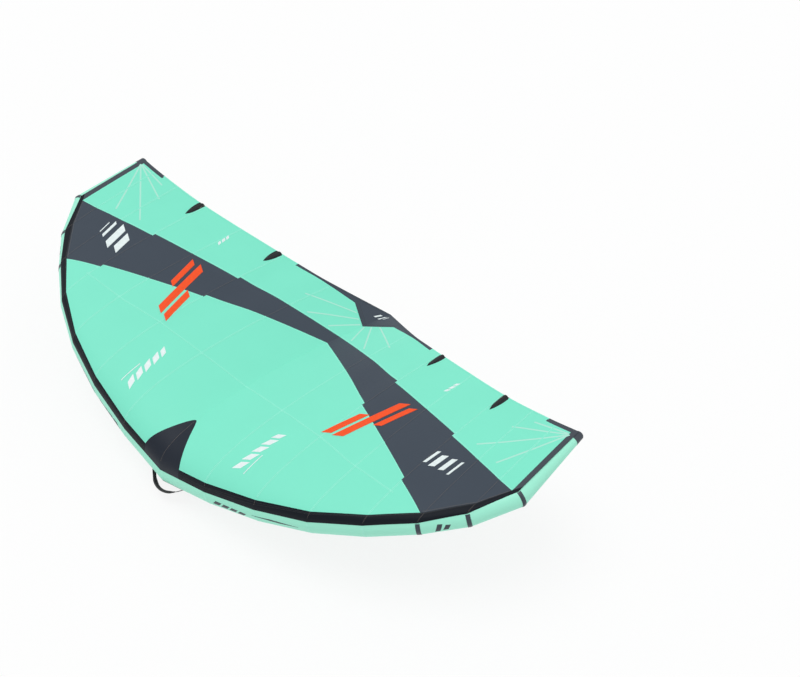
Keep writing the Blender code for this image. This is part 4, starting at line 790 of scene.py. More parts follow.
def shell_parts(top, bottom, wrap=False, creases=()):
    """Points, faces, thread places and crease edges of a closed shell between two grids of points."""
    rows, cols = top.shape[:2]
    points = np.concatenate([top.reshape(-1, 3), bottom.reshape(-1, 3)])
    threads = np.tile(thread_map(top).reshape(-1, 2), (2, 1))
    quads = grid_faces(rows, cols, wrap)
    below = rows * cols
    faces = [quads, quads[:, ::-1] + below]

    def wall(line):
        a, b = line[:-1], line[1:]
        return np.stack([b, a, a + below, b + below], axis=-1)

    ring = np.arange(cols)
    if wrap:
        ring = np.append(ring, 0)
    faces.append(wall(ring)[:, ::-1])
    faces.append(wall(ring + (rows - 1) * cols))
    if not wrap:
        side = np.arange(rows) * cols
        faces.append(wall(side))
        faces.append(wall(side + cols - 1)[:, ::-1])
    sharp = [NO_CREASE]
    for row in creases:
        line = ring + row * cols
        edges = np.stack([line[:-1], line[1:]], axis=-1)
        sharp += [edges, edges + below]
    return points, np.concatenate(faces), threads, np.concatenate(sharp)


def add_object(name, data):
    made = bpy.data.objects.new(name, data)
    bpy.context.scene.collection.objects.link(made)
    return made


def make_piece(name, parts, finish, sharp_degrees=40):
    """One object from several closed shells, each facing out."""
    all_points, all_faces, all_threads, all_sharp, count = [], [], [], [], 0
    for points, faces, threads, sharp in parts:
        a, b, c, d = ((points - points.mean(axis=0))[faces[:, n]] for n in range(4))
        volume = (a * np.cross(b, c)).sum() + (a * np.cross(c, d)).sum()
        faces = faces[:, ::-1] if volume < 0 else faces
        all_points.append(points)
        all_threads.append(threads)
        all_faces.append(faces + count)
        all_sharp.append(sharp + count)
        count += len(points)
    points, faces = np.concatenate(all_points) + NOSE, np.concatenate(all_faces)
    mesh = bpy.data.meshes.new(name)
    mesh.from_pydata(points.tolist(), [], faces.tolist())
    loops = np.zeros(len(mesh.loops), np.int32)
    mesh.loops.foreach_get("vertex_index", loops)
    layer = mesh.uv_layers.new(name="threads")
    layer.data.foreach_set("uv", np.concatenate(all_threads)[loops].astype(np.float32).ravel())
    mesh.validate()
    mesh.shade_smooth()
    mesh.set_sharp_from_angle(angle=math.radians(sharp_degrees))
    mark_creases(mesh, np.concatenate(all_sharp))
    tidy_mesh(mesh)
    mesh.materials.append(FINISHES[finish])
    piece = add_object(name, mesh)
    return piece


def mark_creases(mesh, sharp):
    if not len(sharp):
        return
    edges = np.zeros(len(mesh.edges) * 2, np.int32)
    mesh.edges.foreach_get("vertices", edges)
    edges = np.sort(edges.reshape(-1, 2), axis=1).astype(np.int64)
    wanted = np.sort(sharp, axis=1).astype(np.int64)
    many = len(mesh.vertices)
    found = np.isin(edges[:, 0] * many + edges[:, 1], wanted[:, 0] * many + wanted[:, 1])
    flags = np.zeros(len(mesh.edges), bool)
    mesh.attributes["sharp_edge"].data.foreach_get("value", flags)
    mesh.attributes["sharp_edge"].data.foreach_set("value", flags | found)


def tidy_mesh(mesh):
    """Welds points that fell together where a panel ends in a point."""
    bm = bmesh.new()
    bm.from_mesh(mesh)
    bmesh.ops.remove_doubles(bm, verts=bm.verts, dist=0.00002)
    bm.to_mesh(mesh)
    bm.free()


def mirrored(part):
    points, faces, threads, sharp = part
    return points * (-1, 1, 1), faces, threads, sharp


def both_hands():
    """The right half as drawn, then its mirror image."""
    return (("right", lambda part: part), ("left", mirrored))


def add_piece(name, parts, finish, body="wing", replaced=None, hole=None):
    """A piece of closed shells that rides on a body, in place of a frame node where one is named."""
    piece = make_piece(name, parts, finish)
    if hole:
        cut_valve_hole(piece, hole)
    if replaced:
        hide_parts(replaced)
    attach(piece, body)
    return piece


def add_halves(name, parts, finish, replaced=None, top=None):
    """One piece on each half from parts drawn on the right one. A * in a name stands for the hand."""
    for hand, turn in both_hands():
        name_here, replaced_here = (text and text.replace("*", hand) for text in (name, replaced))
        piece = add_piece(name_here, [turn(part) for part in parts], finish, replaced=replaced_here)
        if top is not None:
            declare_sheet(piece, top)


def declare_sheet(piece, top):
    length = float(arc_lengths(top, 0)[-1].max())
    width = float(arc_lengths(top, 1)[:, -1].max())
    a, b, c, d = top[:-1, :-1], top[1:, :-1], top[1:, 1:], top[:-1, 1:]
    area = float(np.linalg.norm(np.cross(c - a, d - b), axis=-1).sum() / 2)
    area = min(max(area, LEAST_AREA_SHARE * width * length), width * length)


def across_centre(grids):
    """Grids of the right half, carried on over the centre line."""
    return [np.concatenate([grid[:0:-1] * (-1, 1, 1), grid]) for grid in grids]


def joined_round(grid):
    """A grid of rings with its first row repeated at the end."""
    return np.concatenate([grid, grid[:, :1]], axis=1)


def whole_turn(sides):
    return np.arange(sides) * 360 / sides


def mesh_of(a, b):
    return np.meshgrid(a, b, indexing="ij")


# Canopy panels


def canopy_grid(q_columns, lower, upper, rows, power=1.0):
    """Seam counts and chord shares of a panel between two edges, rows crowded forward by power."""
    low, high = lower(q_columns), upper(q_columns)
    share = np.linspace(0, 1, rows + 1) ** power
    u = lerp(low[:, None], high[:, None], share[None, :])
    return np.repeat(q_columns[:, None], rows + 1, axis=1), u


def seam_rows(places):
    """The rows of a grid that lie on a seam."""
    return [i for i, place in enumerate(places) if abs(place - round(place)) < ON_SEAM]


def panel_part(q, u):
    creases = [i for i in seam_rows(q[:, 0]) if 0 < i < len(q) - 1]
    return shell_parts(canopy_point(q, u, CLOTH), canopy_point(q, u), creases=creases)


def front_lower(q):
    return np.where(q <= FAIRING, fairing_edge(q), strip_share(q))


def stripe_lower(q):
    return np.where(q < FRONT_END, stripe_front(q), strip_share(q))


def zero_share(q):
    return np.zeros_like(q)


def full_share(q):
    return np.ones_like(q)


def build_canopy():
    # Name, from and to in seams, front and rear edge, rows and their crowding, finish, node
    for name, start, stop, lower, upper, rows, crowd, finish, node in (
        ("front_panel", 0, FRONT_END, front_lower, stripe_front, 44, 1.5, "mint_ripstop", "canopy_front"),
        ("stripe_panel", 0, SIDE, stripe_lower, stripe_rear, 18, 1.1, "slate_ripstop", "canopy_stripe"),
        ("rear_panel", 0, SIDE, stripe_rear, trailing_edge, 28, 1.0, "mint_ripstop", "canopy_rear"),
        ("edge_strip", FAIRING, CORNER_SEAM, zero_share, strip_share, 12, 1.6, "painted_shade_strip", "leading_strip"),
    ):
        q, u = canopy_grid(columns(start, stop), lower, upper, rows, crowd)
        top = canopy_point(q, u, CLOTH)
        add_halves(f"{name}_*", [panel_part(q, u)], finish, f"{node}_*", top)
    # The panels that cross the centre line
    for name, stop, lower, upper, rows, crowd, finish, node in (
        ("nose_fin", FAIRING, zero_share, fairing_edge, 26, 1.6, "edge_polyester", "nose_fairing"),
        ("tail_patch", TAPE_END, trailing_edge, full_share, 12, 1.0, "slate_ripstop", "trailing_patch"),
    ):
        q, u = canopy_grid(columns(0, stop), lower, upper, rows, crowd)
        grids = across_centre([canopy_point(q, u, CLOTH), canopy_point(q, u)])
        declare_sheet(add_piece(name, [shell_parts(*grids)], finish, replaced=node), grids[0])
    build_tip_strip()


def build_tip_strip():
    """The strip along the wing tip, with the tape on the trailing edge beside it."""
    q, u = canopy_grid(columns(SIDE, CORNER_SEAM), strip_share, full_share, 40)
    tape = canopy_grid(columns(TIP_TAPE, SIDE), trailing_edge, full_share, 4)
    parts = [panel_part(q, u), panel_part(*tape)]
    top = canopy_point(q, u, CLOTH)
    add_halves("tip_strip_*", parts, "grey_band", "side_strip_*", top)


# Seams, stitches, tapes and prints that lie on the cloth


def even_path(points, spacing):
    """A path in plan, read again at even steps along the cloth."""
    points = np.asarray(points, float)
    fine = np.linspace(0, len(points) - 1, 40 * (len(points) - 1) + 1)
    fine = np.stack([np.interp(fine, range(len(points)), points[:, i]) for i in (0, 1)], axis=-1)
    run = np.concatenate([[0], np.cumsum(np.linalg.norm(np.diff(on_canopy(*fine.T), axis=0), axis=-1))])
    places = np.linspace(0, run[-1], max(int(run[-1] / spacing), 1) + 1)
    return np.stack([np.interp(places, run, fine[:, i]) for i in (0, 1)], axis=-1), run[-1]


def aside_of(path):
    """The step in plan, square to a path, that covers one metre of cloth."""
    run = unit(np.gradient(path, axis=0))
    aside = np.stack([-run[:, 1], run[:, 0]], axis=-1)
    probe = 0.001
    ends = [on_canopy(*(path + side * probe * aside).T) for side in (1, -1)]
    width = np.linalg.norm(ends[0] - ends[1], axis=-1)
    return aside * (2 * probe / width)[:, None]


def spread(path, half, sides, lifts):
    """Rows of points along a path in plan, spread over a width of cloth."""
    reach = aside_of(path) * half
    return np.stack([on_canopy(*(path + reach * side).T, lift) for side, lift in zip(sides, lifts)], axis=1)


def tape_part(points, width, rise):
    """A flat tape sewn on the canopy, its edges turned down on the cloth."""
    path, length = even_path(points, TAPE_STEP)
    sides = (-1.0, -0.86, 0.0, 0.86, 1.0)
    top = spread(path, width / 2, sides, [CLOTH + rise * share for share in (0.3, 1.0, 1.1, 1.0, 0.3)])
    return shell_parts(top, spread(path, width / 2, sides, [CLOTH - TAPE_SINK] * len(sides))), length


def box_faces(count):
    """Faces of many small blocks: four bottom points, then four top points each."""
    block = np.array([(0, 3, 2, 1), (4, 5, 6, 7), (0, 1, 5, 4), (1, 2, 6, 5), (2, 3, 7, 6), (3, 0, 4, 7)])
    return (block[None] + 8 * np.arange(count)[:, None, None]).reshape(-1, 4)


def block_part(corners, tops):
    """Many small closed blocks, from their bottom and top corners."""
    points = np.concatenate([corners, tops], axis=1).reshape(-1, 3)
    return points, box_faces(len(corners)), points[:, :2].copy(), NO_CREASE


def stitch_part(points, lift=SEAM_RISE, offset=0.0):
    """A row of stitches along a path in plan, shifted aside by an offset."""
    path, _ = even_path(points, STITCH_PITCH)
    aside = aside_of(path)
    path = path + aside * offset
    start = path[:-1]
    stop = start + (path[1:] - path[:-1]) * (STITCH_LENGTH / STITCH_PITCH)
    across_run = aside[:-1] * STITCH_WIDTH / 2

    def corners(inset, high):
        a, b = lerp(start, stop, inset), lerp(stop, start, inset)
        wide = across_run * (1 - inset)
        ring = (a - wide, b - wide, b + wide, a + wide)
        return np.stack([on_canopy(*place.T, high) for place in ring], axis=1)

    return block_part(corners(0.0, CLOTH + lift * 0.5), corners(0.2, CLOTH + lift * 1.1 + STITCH_RISE))


def plan_place(q, u):
    point = underside(np.array(q, float), np.array(u, float))
    return float(point[0]), float(point[1])


def plan_line(q, u, shift=0.0):
    """Places in plan along a line of the canopy, shifted back."""
    places = (plan_place(*place) for place in zip(q, np.broadcast_to(u, np.shape(q))))
    return [(x, y + shift) for x, y in places]


def lay_tapes(name, lines, finish, width, rise=SEAM_RISE):
    """Tapes along lines in plan, as one piece on each half."""
    parts, lengths = zip(*(tape_part(line, width, rise) for line in lines))
    add_halves(f"{name}_*", parts, finish)


def panel_seams():
    """Each seam between panels, cut where it crosses from one cloth to another."""
    mint, slate = [], []
    for k in range(1, CORNER_SEAM):
        first, last = strip_share(k) + SEAM_SHORT_SHARE, trailing_edge(k) - SEAM_SHORT_SHARE
        places = [plan_place(k, u) for u in (first, stripe_front(k), stripe_rear(k), last)]
        if k < FRONT_END:
            mint.append(places[:2])
            slate.append(places[1:3])
        else:
            slate.append((places[0], places[2]))
        mint.append(places[2:])
    return mint, slate


def build_seams():
    mint, slate = panel_seams()
    mint = mint + [SPAN_SEAM]
    lay_tapes("panel_seam", mint, "mint_ripstop", SEAM_WIDTH)
    rows = [stitch_part(line, offset=side * SEAM_WIDTH * 0.3) for line in mint for side in (-1, 1)]
    add_halves("panel_seam_stitches_*", rows, "pale_thread")
    lay_tapes("stripe_seam", slate, "slate_ripstop", SEAM_WIDTH)
    rows = [stitch_part(line) for line in slate]
    # Tan stitches over the front strip at each seam, and along its join with the stripe
    for k in range(1, CORNER_SEAM):
        rows.append(stitch_part((plan_place(k, 0.002), plan_place(k, strip_share(k) * 0.98)), BARE_LIFT))
    q = np.linspace(FRONT_END + 0.02, SIDE - 0.02, 40)
    rows.append(stitch_part(plan_line(q, strip_share(q) + 0.010), BARE_LIFT))
    add_halves("stripe_stitches_*", rows, "tan_thread")
    ends = plan_place(0, 0.004)[1], root_share_place(FAIRING_LENGTH_SHARE) - 0.012
    add_piece("nose_fin_stitches", [stitch_part([(0.0, end) for end in ends], BARE_LIFT)], "tan_thread")


def build_joins():
    """Stitch rows along the joins between the panels, the hem and the rays at the corners."""
    # Where the rows run in seams, their points, their edge and how far behind it they lie in chord shares
    pale = []
    rows = (FRONT_END, 120, stripe_front, -0.004), (SIDE, 140, stripe_rear, 0.005)
    for stop, count, edge, behind in rows:
        q = np.linspace(0.02, stop - 0.05, count)
        pale.append(stitch_part(plan_line(q, edge(q) + behind), 0.0001))
    q = np.linspace(FAIRING + 0.02, SIDE - 0.03, 150)
    edges = [np.maximum(strip_share(q) - inside, 0.001) for inside in (0.005, 0.008)]
    dark = [stitch_part(plan_line(q, edge), BARE_LIFT) for edge in edges]
    add_halves("join_stitches_*", pale, "pale_thread")
    add_halves("strip_stitches_*", dark, "dark_thread")
    hem = plan_line(np.linspace(TAPE_END + 0.01, TIP_TAPE - 0.01, 120), 1.0, -HEM_WIDTH * 0.55)
    lay_tapes("trailing_hem", [hem], "mint_ripstop", HEM_WIDTH)
    add_halves("trailing_hem_stitches_*", [stitch_part(hem, offset=0.003)], "pale_thread")
    lay_tapes("corner_ray", TIP_RAYS + PATCH_RAYS, "pale_tape", RAY_WIDTH, RAY_RISE)


def build_patch_rows():
    """Rows of stitches in from the front edges and the hem of the trailing patch."""
    q = np.linspace(0.01, PATCH, 30)
    edge = trailing_edge(q)
    rows = [stitch_part(plan_line(q, edge, inward), BARE_LIFT) for inward in (0.008, 0.022, 0.036)]
    q = np.linspace(0.01, TAPE_END - 0.12, 60)
    rows += [stitch_part(plan_line(q, 1.0, -inward), BARE_LIFT) for inward in (0.008, 0.020)]
    add_halves("tail_patch_stitches_*", rows, "dark_thread")


def bar_parts(bars, rise=PRINT_RISE):
    """Slanted printed bars, laid on the cloth in small steps."""
    parts = []
    for x, y, width, length, slant in bars:
        steps = (np.linspace(-0.5, 0.5, max(int(size / BAR_STEP), 2) + 1) for size in (length, width))
        along_share, wide_share = mesh_of(*steps)
        px = x + along_share * slant + wide_share * width
        py = y + along_share * length + wide_share * width * BAR_END_SLOPE
        parts.append(shell_parts(on_canopy(px, py, CLOTH + rise), on_canopy(px, py, CLOTH - PRINT_SINK)))
    return parts


def tube_bar(q, degrees, long, wide):
    """A slanted bar printed on the leading edge tube."""
    along_share, wide_share = mesh_of(np.linspace(-0.5, 0.5, 9), np.linspace(-0.5, 0.5, 9))
    seams = q + along_share * long + wide_share * long * TUBE_BAR_END_SLOPE
    angle = degrees + wide_share * wide - along_share * long * TUBE_BAR_FALL_DEGREES
    return shell_parts(tube_point(seams, angle, TUBE_PRINT_RISE), tube_point(seams, angle, -TUBE_PRINT_SINK))


def build_prints():
    add_halves("orange_bars_*", bar_parts(ORANGE_BARS), "orange_print")
    add_halves("pale_bars_*", bar_parts(PALE_BARS), "pale_print")
    add_piece("pale_block_right", bar_parts(RIGHT_PALE_BARS), "pale_print")
    add_piece("pale_block_left", [mirrored(part) for part in bar_parts(LEFT_PALE_BARS)], "pale_print")
    add_piece("tail_patch_bars", bar_parts(PATCH_BARS, PATCH_PRINT_RISE), "pale_print")
    add_halves("tube_bars_*", [tube_bar(*bar) for bar in TUBE_BARS], "dark_print")


def beside(seam, offset):
    """The seam count of a ring round the tube, so many metres outward from a seam."""
    return seam + offset / RUN_LENGTHS[seam - 1 if offset < 0 else seam]


def tube_seam_parts(k):
    """A felled seam round the leading edge tube, its two rows of stitches and its length."""
    start, stop = TUBE_SEAM_START_DEGREES, SEWN_DEGREES[k] - 1
    half = TUBE_SEAM_WIDTH / 2
    q = [beside(k, share * half) for share in (-1.0, -0.8, 0.0, 0.8, 1.0)]
    rows, turned = mesh_of(q, np.linspace(start, stop, 73))
    drawn_in = pinched(rows, turned)
    lift = np.array(TUBE_SEAM_RISES)[:, None] + drawn_in
    tape = shell_parts(tube_point(rows, turned, lift), tube_point(rows, turned, drawn_in - TUBE_SEAM_SINK))
    step = math.degrees(STITCH_PITCH / RADII[k])
    places = np.arange(start, stop - 1, step)

    def corner(row, share, rise):
        return tube_point(row, places + share * step, rise + pinched(row + 0 * places, places))

    stitches = []
    for side in (-0.45, 0.45):
        row, wide = beside(k, side * half), STITCH_WIDTH / 2 / RUN_LENGTHS[k]
        ring = ((row - wide, 0.0), (row + wide, 0.0), (row + wide, 0.55), (row - wide, 0.55))
        levels = ([corner(*place, rise) for place in ring] for rise in TUBE_STITCH_RISES)
        stitches.append(block_part(*(np.stack(level, axis=1) for level in levels)))
    return tape, stitches, math.radians(stop - start) * RADII[k]


def build_tube_seams():
    tapes, stitches, lengths = zip(*(tube_seam_parts(k) for k in TUBE_SEAMS))
    add_halves("tube_seam_*", tapes, "sleeve_polyester")
    add_halves("tube_seam_stitches_*", sum(stitches, []), "pale_thread")


def build_batten_pockets():
    """A leaf of black cloth over each batten, wide at the trailing edge and bowed on its outer side."""
    share, wide = mesh_of(np.linspace(0, 1, 40), np.linspace(0, 1, 21))
    edge = np.minimum(ease(wide / 0.12), ease((1 - wide) / 0.12))
    for name, span in BATTEN_SPAN_SHARES.items():
        back = trailing_point(span)
        y = back[1] - POCKET_FROM_EDGE - share * POCKET_LENGTH
        inner = back[0] - POCKET_WIDTH * 0.42 * (1 - share**3.2) - POCKET_TIP_HALF_WIDTH
        outer = back[0] + POCKET_WIDTH * 0.58 * (1 - share**2.4) + POCKET_TIP_HALF_WIDTH
        x = lerp(inner, outer, wide)
        over = np.clip(1 - (np.abs(x - back[0]) / BATTEN_REACH) ** 4, 0, 1) * ease((1 - share) / 0.22)
        lift = CLOTH + 0.0004 + 0.0006 * edge + (POCKET_HEIGHT - 0.0010) * over * edge
        top = on_canopy(x, y, lift)
        rows = [
            stitch_part(np.stack([side[:, 0] + shift, y[:, 0]], axis=-1)[1:-5], POCKET_EDGE_RISE)
            for side, shift in ((inner, POCKET_STITCH_INSET), (outer, -POCKET_STITCH_INSET))
        ]
        parts = [shell_parts(top, on_canopy(x, y, CLOTH - TAPE_SINK))]
        node = f"batten_pocket_{name}_*"
        add_halves(f"leaf_pocket_{name}_*", parts, "pocket_cloth", node, top)
        add_halves(f"leaf_pocket_{name}_stitches_*", rows, "dark_thread")


# Leading edge


def seam_distance(q):
    """How far along the tube the nearest seam lies."""
    k = np.clip(q.astype(int), 0, LAST_SEAM - 1)
    lengths = RUN_LENGTHS[k]
    return np.minimum(q - k, k + 1 - q) * lengths


def pinched(q, degrees):
    """How the inflated tube draws in at a seam, with small puckers round it."""
    away = seam_distance(q)
    pucker = PUCKER_DEPTH * np.cos(np.radians(degrees) * PUCKERS_ROUND + 5 * np.round(q))
    return pucker * np.exp(-((away / PUCKER_REACH) ** 2)) - PINCH_DEPTH * np.exp(-((away / PINCH_REACH) ** 2))


def tube_rows(stop, per_seam=16):
    """Seam counts of rows along the tube, closer together near its seams."""
    share = (1 - np.cos(np.pi * np.linspace(0, 1, per_seam + 1))) / 2
    rows = (np.arange(LAST_SEAM)[:, None] + share[:-1]).ravel()
    return np.array([*rows[rows < stop], stop])


def build_leading_tube():
    rows = tube_rows(LAST_SEAM)
    q, angle = mesh_of(rows, whole_turn(96))
    top, bottom = (tube_point(q, angle, pinched(q, angle) - depth) for depth in (0, SLEEVE_WALL))
    parts, node = [shell_parts(top, bottom, wrap=True, creases=seam_rows(rows))], "leading_edge_sleeve_*"
    whole = joined_round(top)
    add_halves("leading_tube_*", parts, "sleeve_polyester", node, whole)


def build_air_bladder():
    """One bladder from tip to tip, inside both sleeves."""
    q, angle = mesh_of(tube_rows(LAST_SEAM - 0.01, 6), whole_turn(48))
    grids = []
    for wall in (0, BLADDER_WALL):
        side = tube_point(q, angle, -BLADDER_INSET - wall)
        centre = side[-1].mean(axis=0)
        end = [centre + (side[-1] - centre) * size - ALONG[-1] * wall for size in (0.5, 0.01)]
        grids.append(np.concatenate([side, end]))
    parts = [shell_parts(*across_centre(grids), wrap=True)]
    add_piece("air_bladder", parts, "bladder_film", replaced="leading_edge_bladder")


def build_bands():
    sides = (-1, -0.8, -0.4, 0, 0.4, 0.8, 1)
    for number, seam in enumerate(BAND_SEAMS, start=1):
        rows = [beside(seam, side * BAND_WIDTH / 2) for side in sides]
        stop = SEWN_DEGREES[seam] - BAND_STOP_DEGREES
        q, angle = mesh_of(rows, np.linspace(BAND_HIDDEN_DEGREES - 360, stop, 64))
        top, bottom = tube_point(q, angle, GAP + BAND_WALL), tube_point(q, angle, -BAND_SINK)
        parts, node = [shell_parts(top, bottom, creases=[sides.index(0)])], f"leading_edge_band_*_{number}"
        flat = tube_point(q, angle, BAND_WALL)
        add_halves(f"tube_band_*_{number}", parts, "grey_band", node, flat)


def build_end_cups():
    """A cup sewn over each end of the tube, with a domed bottom."""
    skirt = LAST_SEAM - CAP_LENGTH / RUN_LENGTHS[-1]
    q, angle = mesh_of(np.linspace(skirt, LAST_SEAM, 8), whole_turn(64))
    grids = []
    for wall in (0, BAND_WALL):
        side = tube_point(q, angle, GAP + BAND_WALL - wall)
        centre = side[-1].mean(axis=0)
        rise = ALONG[-1] * (CAP_DOME - wall)
        turns = np.linspace(0, math.pi / 2, 9)[1:]
        dome = [centre + (side[-1] - centre) * max(math.cos(t), 0.012) + rise * math.sin(t) for t in turns]
        grids.append(np.concatenate([side, dome]))
    add_halves("tube_end_cup_*", [shell_parts(*grids, wrap=True)], "grey_band", "tip_cap_*")


# Strut


def centre_line_room(y):
    """The height of the canopy's underside over the strut, at a place back."""
    return np.interp(y, CENTRE_LINE[:, 1], CENTRE_LINE[:, 2])


CENTRE_LINE = underside(np.zeros(400), np.linspace(0, 1, 400))
STRUT_PLACES = STRUT_LENGTH * np.array(STRUT_PLACE_SHARES)


def strut_stations():
    radius = STRUT_DIAMETER / 2 * np.array(STRUT_GIRTH_SHARES)
    height = -STRUT_AXIS_DROP * np.array(STRUT_DROP_SHARES)
    bottom = height - radius
    room = centre_line_room(STRUT_PLACES) - 4 * GAP
    top = np.minimum(height + radius, np.maximum(room, bottom + 2 * GAP))
    return (top - bottom) / 2, (top + bottom) / 2


STRUT_RADII, STRUT_HEIGHTS = strut_stations()
TAIL_FROM = STRUT_PLACES[4]


def strut_read(values, y):
    """Straight cones along the body of the strut, and one smooth curve round its tail."""
    body, tail = np.interp(y, STRUT_PLACES, values), smooth(STRUT_PLACES, values, y)
    return np.where(np.asarray(y) < TAIL_FROM, body, tail)


def strut_radius(y):
    return strut_read(STRUT_RADII, y)


def strut_height(y):
    return strut_read(STRUT_HEIGHTS, y)


def strut_bottom(y):
    return strut_height(y) - strut_radius(y)


def strut_point(y, degrees, extra=0.0):
    y, degrees, extra = np.broadcast_arrays(np.asarray(y, float), degrees, np.asarray(extra, float))
    reach = strut_radius(y) + extra
    angle = np.radians(degrees)
    return np.stack([reach * np.cos(angle), y, strut_height(y) + reach * np.sin(angle)], axis=-1)


def saddle_place(degrees):
    """How far back the strut meets the leading edge tube, at each angle round the strut."""

    def close(middle):
        point = strut_point(middle, degrees)
        point[:, 0] = np.abs(point[:, 0])
        return nearest_on_axis(point)[0] < 4 * GAP

    return halve(np.zeros(len(degrees)), np.full(len(degrees), STRUT_PLACES[0]), close, 40)[0]


def strut_rows(start, middle, stop, counts, also=()):
    """Places along the strut, in even steps on each side of a middle one."""
    ranges = np.linspace(start, middle, counts[0]), np.linspace(middle, stop, counts[1])
    return np.unique(np.concatenate([*ranges, also]))


def build_strut():
    degrees = whole_turn(96)
    start = saddle_place(degrees)
    places = strut_rows(STRUT_PLACES[0], TAIL_FROM, STRUT_LENGTH, (40, 40), STRUT_PLACES[:5])
    radius = strut_radius(places)
    grids = []
    for extra in (0.0, -SLEEVE_WALL):
        fronts = [lerp(start, STRUT_PLACES[0], share) for share in (0.0, 0.35, 0.7)]
        front = [strut_point(place, degrees, extra) for place in fronts]
        kept_open = np.maximum(radius + extra, TAIL_RADIUS) - radius
        grids.append(np.concatenate([front, strut_point(places[:, None], degrees, kept_open[:, None])]))
    parts = [shell_parts(*grids, wrap=True)]
    hole = VALVE_SOCKET_RADIUS + 2 * GAP
    piece = add_piece("strut_tube", parts, "sleeve_polyester", replaced="strut_sleeve", hole=hole)
    declare_sheet(piece, joined_round(grids[0]))
    build_strut_bladder(degrees[::2])
    build_rib()


def build_strut_bladder(degrees):
    places = strut_rows(BLADDER_START, TAIL_FROM, STRUT_PLACES[6], (24, 10))
    sizes = np.interp(places - BLADDER_START, (0, 0.008, 0.028), (0.70, 0.88, 1.0))
    radius = strut_radius(places)
    grids = []
    for wall in (0, BLADDER_WALL):
        inward = (radius - BLADDER_INSET - wall) * sizes - radius
        rings = strut_point(places[:, None], degrees, inward[:, None])
        ends = []
        for ring, shift in ((rings[0], wall), (rings[-1], -wall)):
            centre = ring.mean(axis=0)
            ends.append([centre + (ring - centre) * size + (0, shift, 0) for size in (0.02, 0.5)])
        grids.append(np.concatenate([ends[0], rings, ends[1][::-1]]))
    parts = [shell_parts(*grids, wrap=True)]
    add_piece("strut_air_bladder", parts, "bladder_film", replaced="strut_bladder", hole=FILM_HOLE_RADIUS)


def build_rib():
    """The upright cloth that ties the canopy to the strut, with a slight sway."""
    places = np.linspace(NOSE_TUBE_DIAMETER / 2 + RIB_CLEARANCE, WEB_END, 90)
    low = strut_height(places) + strut_radius(places) + GAP
    high = centre_line_room(places) - GAP
    y, share = mesh_of(places, np.linspace(0, 1, 14))
    z = lerp(low[:, None], high[:, None], share)
    sway = RIB_SWAY * np.sin(math.pi * share) * np.sin(9 * y)
    grids = [np.stack([sway + side * RIB_WALL / 2, y, z], axis=-1) for side in (1, -1)]
    piece = add_piece("strut_rib", [shell_parts(*grids)], "sleeve_polyester", replaced="strut_web")
    declare_sheet(piece, grids[0])


def valve_matrix():
    """The valve's own frame on the strut's left side: Z out, Y aft."""
    angle = math.radians(VALVE_DEGREES)
    out, aft = Vector((-math.cos(angle), 0, math.sin(angle))), Vector((0, 1, 0))
    turn = Matrix((aft.cross(out), aft, out)).transposed().to_4x4()
    axis = Vector((0, VALVE_PLACE, float(strut_height(VALVE_PLACE))))
    turn.translation = axis + out * float(strut_radius(VALVE_PLACE)) + Vector(NOSE)
    return turn


VALVE = valve_matrix()


def cut_valve_hole(piece, radius):
    mesh = bpy.data.meshes.new("valve_hole")
    bm = bmesh.new()
    size = {"radius1": radius, "radius2": radius, "depth": HOLE_DEPTH}
    bmesh.ops.create_cone(bm, cap_ends=True, segments=64, matrix=VALVE, **size)
    bm.to_mesh(mesh)
    bm.free()
    cutter = add_object("valve_hole", mesh)
    cut = piece.modifiers.new("valve_hole", "BOOLEAN")
    cut.operation = "DIFFERENCE"
    cut.object = cutter
    graph = bpy.context.evaluated_depsgraph_get()
    done = bpy.data.meshes.new_from_object(piece.evaluated_get(graph))
    piece.modifiers.clear()
    piece.data = done
    bpy.data.objects.remove(cutter)


# Straps under the strut


class HandleLine:
    """A strap's middle line in the centre plane: flat on the strut at both ends, bowed between."""

    def __init__(self, ends):
        self.ends = ends
        self.seat = PATCH_WALL + 2 * GAP + WEBBING_THICK / 2
        share = math.acos(1 - 2 * JUNCTION_DROP / HANDLE_DROP) / math.tau
        self.junctions = (lerp(*ends, share), lerp(*ends, 1 - share))

    def height(self, y):
        y = np.asarray(y, float)
        base = strut_bottom(y) - self.seat
        first, last = (strut_bottom(end) - self.seat for end in self.ends)
        share = (y - self.ends[0]) / (self.ends[1] - self.ends[0])
        bell = (1 - np.cos(math.tau * np.clip(share, 0, 1))) / 2
        bowed = lerp(first, last, np.clip(share, 0, 1)) - HANDLE_DROP * bell
        return np.where((y <= self.ends[0]) | (y >= self.ends[1]), base, bowed)

    def frame(self, y):
        """The line's points, the way across the strap and the way out of its face."""
        slope = self.height(y + PROBE) - self.height(y - PROBE)
        run = unit(np.stack([0 * y, 0 * y + 2 * PROBE, slope], axis=-1))
        lift = np.stack([0 * y, -run[..., 2], run[..., 1]], axis=-1)
        return np.stack([0 * y, y, self.height(y)], axis=-1), np.array([(1.0, 0, 0)] * len(y)), lift


def rounded_bar(centre, aside, lift, width, thick, sides, square):
    """A closed bar with rounded edges, from its middle line and its two cross directions."""
    turn = np.radians(whole_turn(sides))
    rings = centre[:, None, :]
    for direction, size, wave_of in ((aside, width, np.cos(turn)), (lift, thick, np.sin(turn))):
        reach = np.sign(wave_of) * np.abs(wave_of) ** (2 / square)
        half = np.broadcast_to(size, len(centre))[:, None, None] / 2
        rings = rings + reach[None, :, None] * half * direction[:, None, :]
    return solid_rings(rings)


